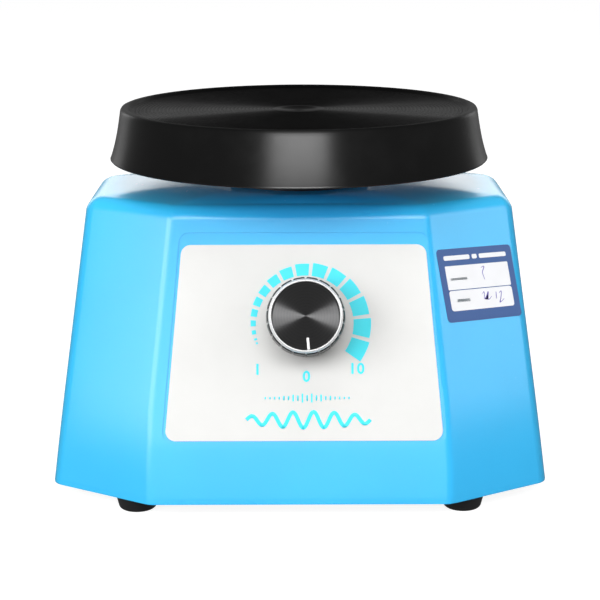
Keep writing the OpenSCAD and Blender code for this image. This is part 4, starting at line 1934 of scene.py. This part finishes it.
@dataclass
class Feet:
    """Four moulded rubber feet, each with a screw recess."""

    palette: Palette
    places: tuple[str, ...] = ("front_left", "front_right", "rear_left", "rear_right")
    tip: float = 6.0
    root: float = 7.25
    bore: float = 1.6
    recess: float = 3.3
    recess_depth: float = 2.2

    def build(self) -> None:
        """Makes the feet."""
        for place in self.places:
            node = "foot_" + place
            low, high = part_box(node)
            middle = (low + high) / 2
            top = high.z / MM
            corners = [
                (self.recess, 0), (self.tip, 0), (self.root, top), (self.bore, top),
                (self.bore, self.recess_depth), (self.recess, self.recess_depth),
            ]
            profile = rounded(corners, [0.3, 1.3, 0.35, 0, 0, 0.2], 6)
            spot = Matrix.Translation((middle.x, middle.y, 0))
            foot = piece_from("rubber_" + node, *lathe(profile, 72), place=spot)
            ease(foot)
            outfit(foot, "root", self.palette.get(FOOT_RUBBER), [node])


@dataclass
class Works:
    """Finishes of the CAD nodes that keep their own shape."""

    palette: Palette
    finishes: dict[str, Finish] = field(default_factory=lambda: {
        "base_plate": DARK_STEEL, "foot_screws": SCREW, "panel_label": WHITE_FILM,
        "scale_marks": CYAN_INK, "rating_plate": FOIL, "knob_set_screw": SCREW, "pot_shaft": ZINC,
        "pot_body": ZINC, "pot_washer": SCREW, "pot_nut": BRASS,
        "control_board": CircuitBoard("board_resist"),
        "board_standoffs": BRASS, "board_screws": SCREW, "triac": EPOXY, "heat_sink": ALUMINIUM,
        "capacitor": FILM_CAP, "terminal_block": GREEN_BLOCK, "magnet_bracket": ZINC,
        "bracket_screws": SCREW, "magnet_core": StackedSheets("core_sheets"), "core_bolts": SCREW,
        "core_nuts": SCREW, "coil_bobbin": NYLON, "coil_winding": WoundWire("copper_turns"),
        "pillars": ZINC, "pillar_screws": SCREW, "rubber_mounts": FOOT_RUBBER, "carrier_plate": ZINC,
        "carrier_nuts": SCREW, "armature_plate": StackedSheets("armature_sheets"),
        "armature_screws": SCREW, "table_stem": ZINC, "stem_screws": SCREW, "table_disc": ZINC,
        "table_screw": SCREW, "dust_boot": FOOT_RUBBER, "cord_gland": BLACK_NYLON,
        "gland_nut": BLACK_NYLON, "fuse_holder": BLACK_NYLON, "fuse_nut": BLACK_NYLON,
        "fuse_cap": BLACK_NYLON, "fuse": ClearGlass("fuse_glass"), "pot_leads": LEAD_YELLOW,
        "coil_leads": LEAD_RED, "mains_leads": LEAD_BROWN,
    })

    def build(self) -> None:
        """Dresses every node."""
        for name, finish in self.finishes.items():
            node = frame["nodes"][name]
            node.data.materials.clear()
            node.data.materials.append(self.palette.get(finish))
            LOG.info("%s has the finish %s", name, finish.name)


# ---------------------------------------------------------------- the studio


@dataclass(frozen=True)
class SoftBox:
    """One rectangular lamp, with its place and size in metres and its power in watts."""

    name: str
    place: Spot
    size: Point
    watts: float
    reach: Reach = Reach.EXCEPT
    pieces: tuple[str, ...] = ()
    tint: Colour = (1.0, 1.0, 1.0)

    def hang(self, aim: Vector) -> None:
        """Puts the lamp into the scene.

        Args:
            aim: the point that it faces.
        """
        data = bpy.data.lights.new(self.name, "AREA")
        data.shape = "RECTANGLE"
        data.size, data.size_y = self.size
        data.energy = self.watts
        data.color = self.tint
        made = in_scene(self.name, data)
        made.location = self.place
        made.rotation_mode = "QUATERNION"
        made.rotation_quaternion = (aim - Vector(self.place)).to_track_quat("-Z", "Y")
        if self.pieces:
            flag = bpy.data.collections.new(self.name + "_flag")
            made.light_linking.receiver_collection = flag
            for index, piece in enumerate(self.pieces):
                flag.objects.link(bpy.data.objects[piece])
                flag.collection_objects[index].light_linking.link_state = self.reach.value


LIT_TRAY = ("rubber_tray",)
LIT_DISC = ("knob_disc",)
LIT_SHELL = ("shell",)
LAMPS = (
    SoftBox("top_box", (0.0, -0.25, 1.25), (1.0, 0.7), 4.2, Reach.EXCEPT, LIT_TRAY + LIT_DISC),
    SoftBox("front_box", (0.0, -1.25, 1.0), (1.5, 0.45), 14.0, Reach.EXCEPT, LIT_TRAY + LIT_DISC),
    SoftBox("left_box", (-1.15, -0.95, 0.55), (0.9, 0.8), 14.0, Reach.EXCEPT, LIT_TRAY + LIT_DISC),
    SoftBox("right_box", (1.3, -0.5, 0.6), (0.7, 0.8), 5.0, Reach.EXCEPT, LIT_TRAY + LIT_DISC),
    SoftBox("left_rim_box", (-0.95, 1.25, 0.4), (0.5, 0.6), 1.2),
    SoftBox("right_rim_box", (0.95, 1.25, 0.4), (0.5, 0.6), 1.0),
    SoftBox("back_box", (0.0, 1.3, 0.42), (1.5, 0.5), 5.0, Reach.ONLY, LIT_SHELL),
    SoftBox("tray_strip", (0.0, -1.2, -0.1), (0.72, 0.36), 80.0, Reach.ONLY, LIT_TRAY),
    SoftBox("left_disc_strip", (-1.2, -0.6, 0.5), (0.4, 0.5), 20.0, Reach.ONLY, LIT_DISC),
    SoftBox("right_disc_strip", (1.2, -0.6, 0.5), (0.4, 0.5), 16.0, Reach.ONLY, LIT_DISC),
    SoftBox("panel_strip", (-0.25, -1.25, 0.34), (1.2, 0.35), 4.5, Reach.ONLY, LIT_SHELL),
    SoftBox("shoulder_strip", (0.0, -0.45, 1.2), (1.1, 0.25), 3.0, Reach.ONLY, LIT_SHELL),
    SoftBox("shade_fill", (0.0, -1.0, 0.2), (1.4, 0.2), 4.0, Reach.ONLY, LIT_SHELL, (0.0, 0.2, 1.0)),
)


@dataclass
class Studio:
    """A pale floor, soft lights and the camera."""

    distance: float = 0.566
    height: float = 0.199
    tilt: float = 14.12
    roll: float = -0.18
    lens: float = 99.0
    aim_height: float = 0.07
    surround: float = 0.22

    def camera(self) -> None:
        """Sets the camera in front of the dial, a little above it."""
        data = bpy.data.cameras.new("camera")
        data.lens = self.lens
        data.sensor_width = 36.0
        data.clip_start, data.clip_end = 0.01, 20.0
        made = in_scene("camera", data)
        tip = Matrix.Rotation(math.radians(90 - self.tilt), 4, "X")
        spin = Matrix.Rotation(math.radians(self.roll), 4, "Z")
        made.matrix_world = Matrix.Translation((0.0002, -self.distance, self.height)) @ tip @ spin
        bpy.context.scene.camera = made

    def floor(self) -> None:
        """A round pale floor that curves up into an even backdrop on every side."""
        reach, bend, count = 6.0, 2.0, 16
        profile: list[Point] = [(0, 0), (0.5, 0), (reach - bend, 0)]
        for k in range(1, count + 1):
            a = math.pi / 2 * k / count
            profile.append((reach - bend + bend * math.sin(a), bend * (1 - math.cos(a))))
        profile += [(reach, 3.5), (reach + 0.1, 3.5), (reach + 0.1, -0.05), (0, -0.05)]
        cove = piece_from("studio_floor", *lathe([(r / MM, z / MM) for r, z in profile], 64))
        graph = Graph("studio_paper")
        grain = graph.noise(2, detail=2)
        tone = graph.mix(grain.between(0.3, 0.7), (0.32, 0.32, 0.32), (0.34, 0.34, 0.34))
        paper = graph.finish(
            Base_Color=tone, Roughness=0.9, Specular_IOR_Level=0.1,
            Emission_Color=(1, 1, 1), Emission_Strength=0.9,
        )
        cove.data.materials.append(paper)
        cove.visible_glossy = False
        cove.visible_diffuse = False
        cove.visible_shadow = False

    def lights(self) -> None:
        """Soft boxes all round and an even pale surround."""
        for lamp in LAMPS:
            lamp.hang(Vector((0, 0, self.aim_height)))
        world = bpy.data.worlds.new("surround")
        bpy.context.scene.world = world
        world.use_nodes = True
        background = world.node_tree.nodes["Background"]
        background.inputs["Color"].default_value = (1, 1, 1, 1)
        background.inputs["Strength"].default_value = self.surround
        bpy.context.scene.view_settings.view_transform = "Standard"

    def build(self) -> None:
        """Makes the studio round the finished object."""
        self.camera()
        self.floor()
        self.lights()


def main() -> None:
    """Builds the studio and every sub-assembly in order."""
    logging.basicConfig(level=logging.INFO, format="%(name)s: %(message)s")
    palette = Palette()
    shell = Shell(palette)
    shell.build()
    Tray(palette).build()
    Dial(palette, shell).build()
    InspectionSeal(palette, shell).build()
    Feet(palette).build()
    Works(palette).build()
    Studio().build()


if __name__ == "__main__":
    main()
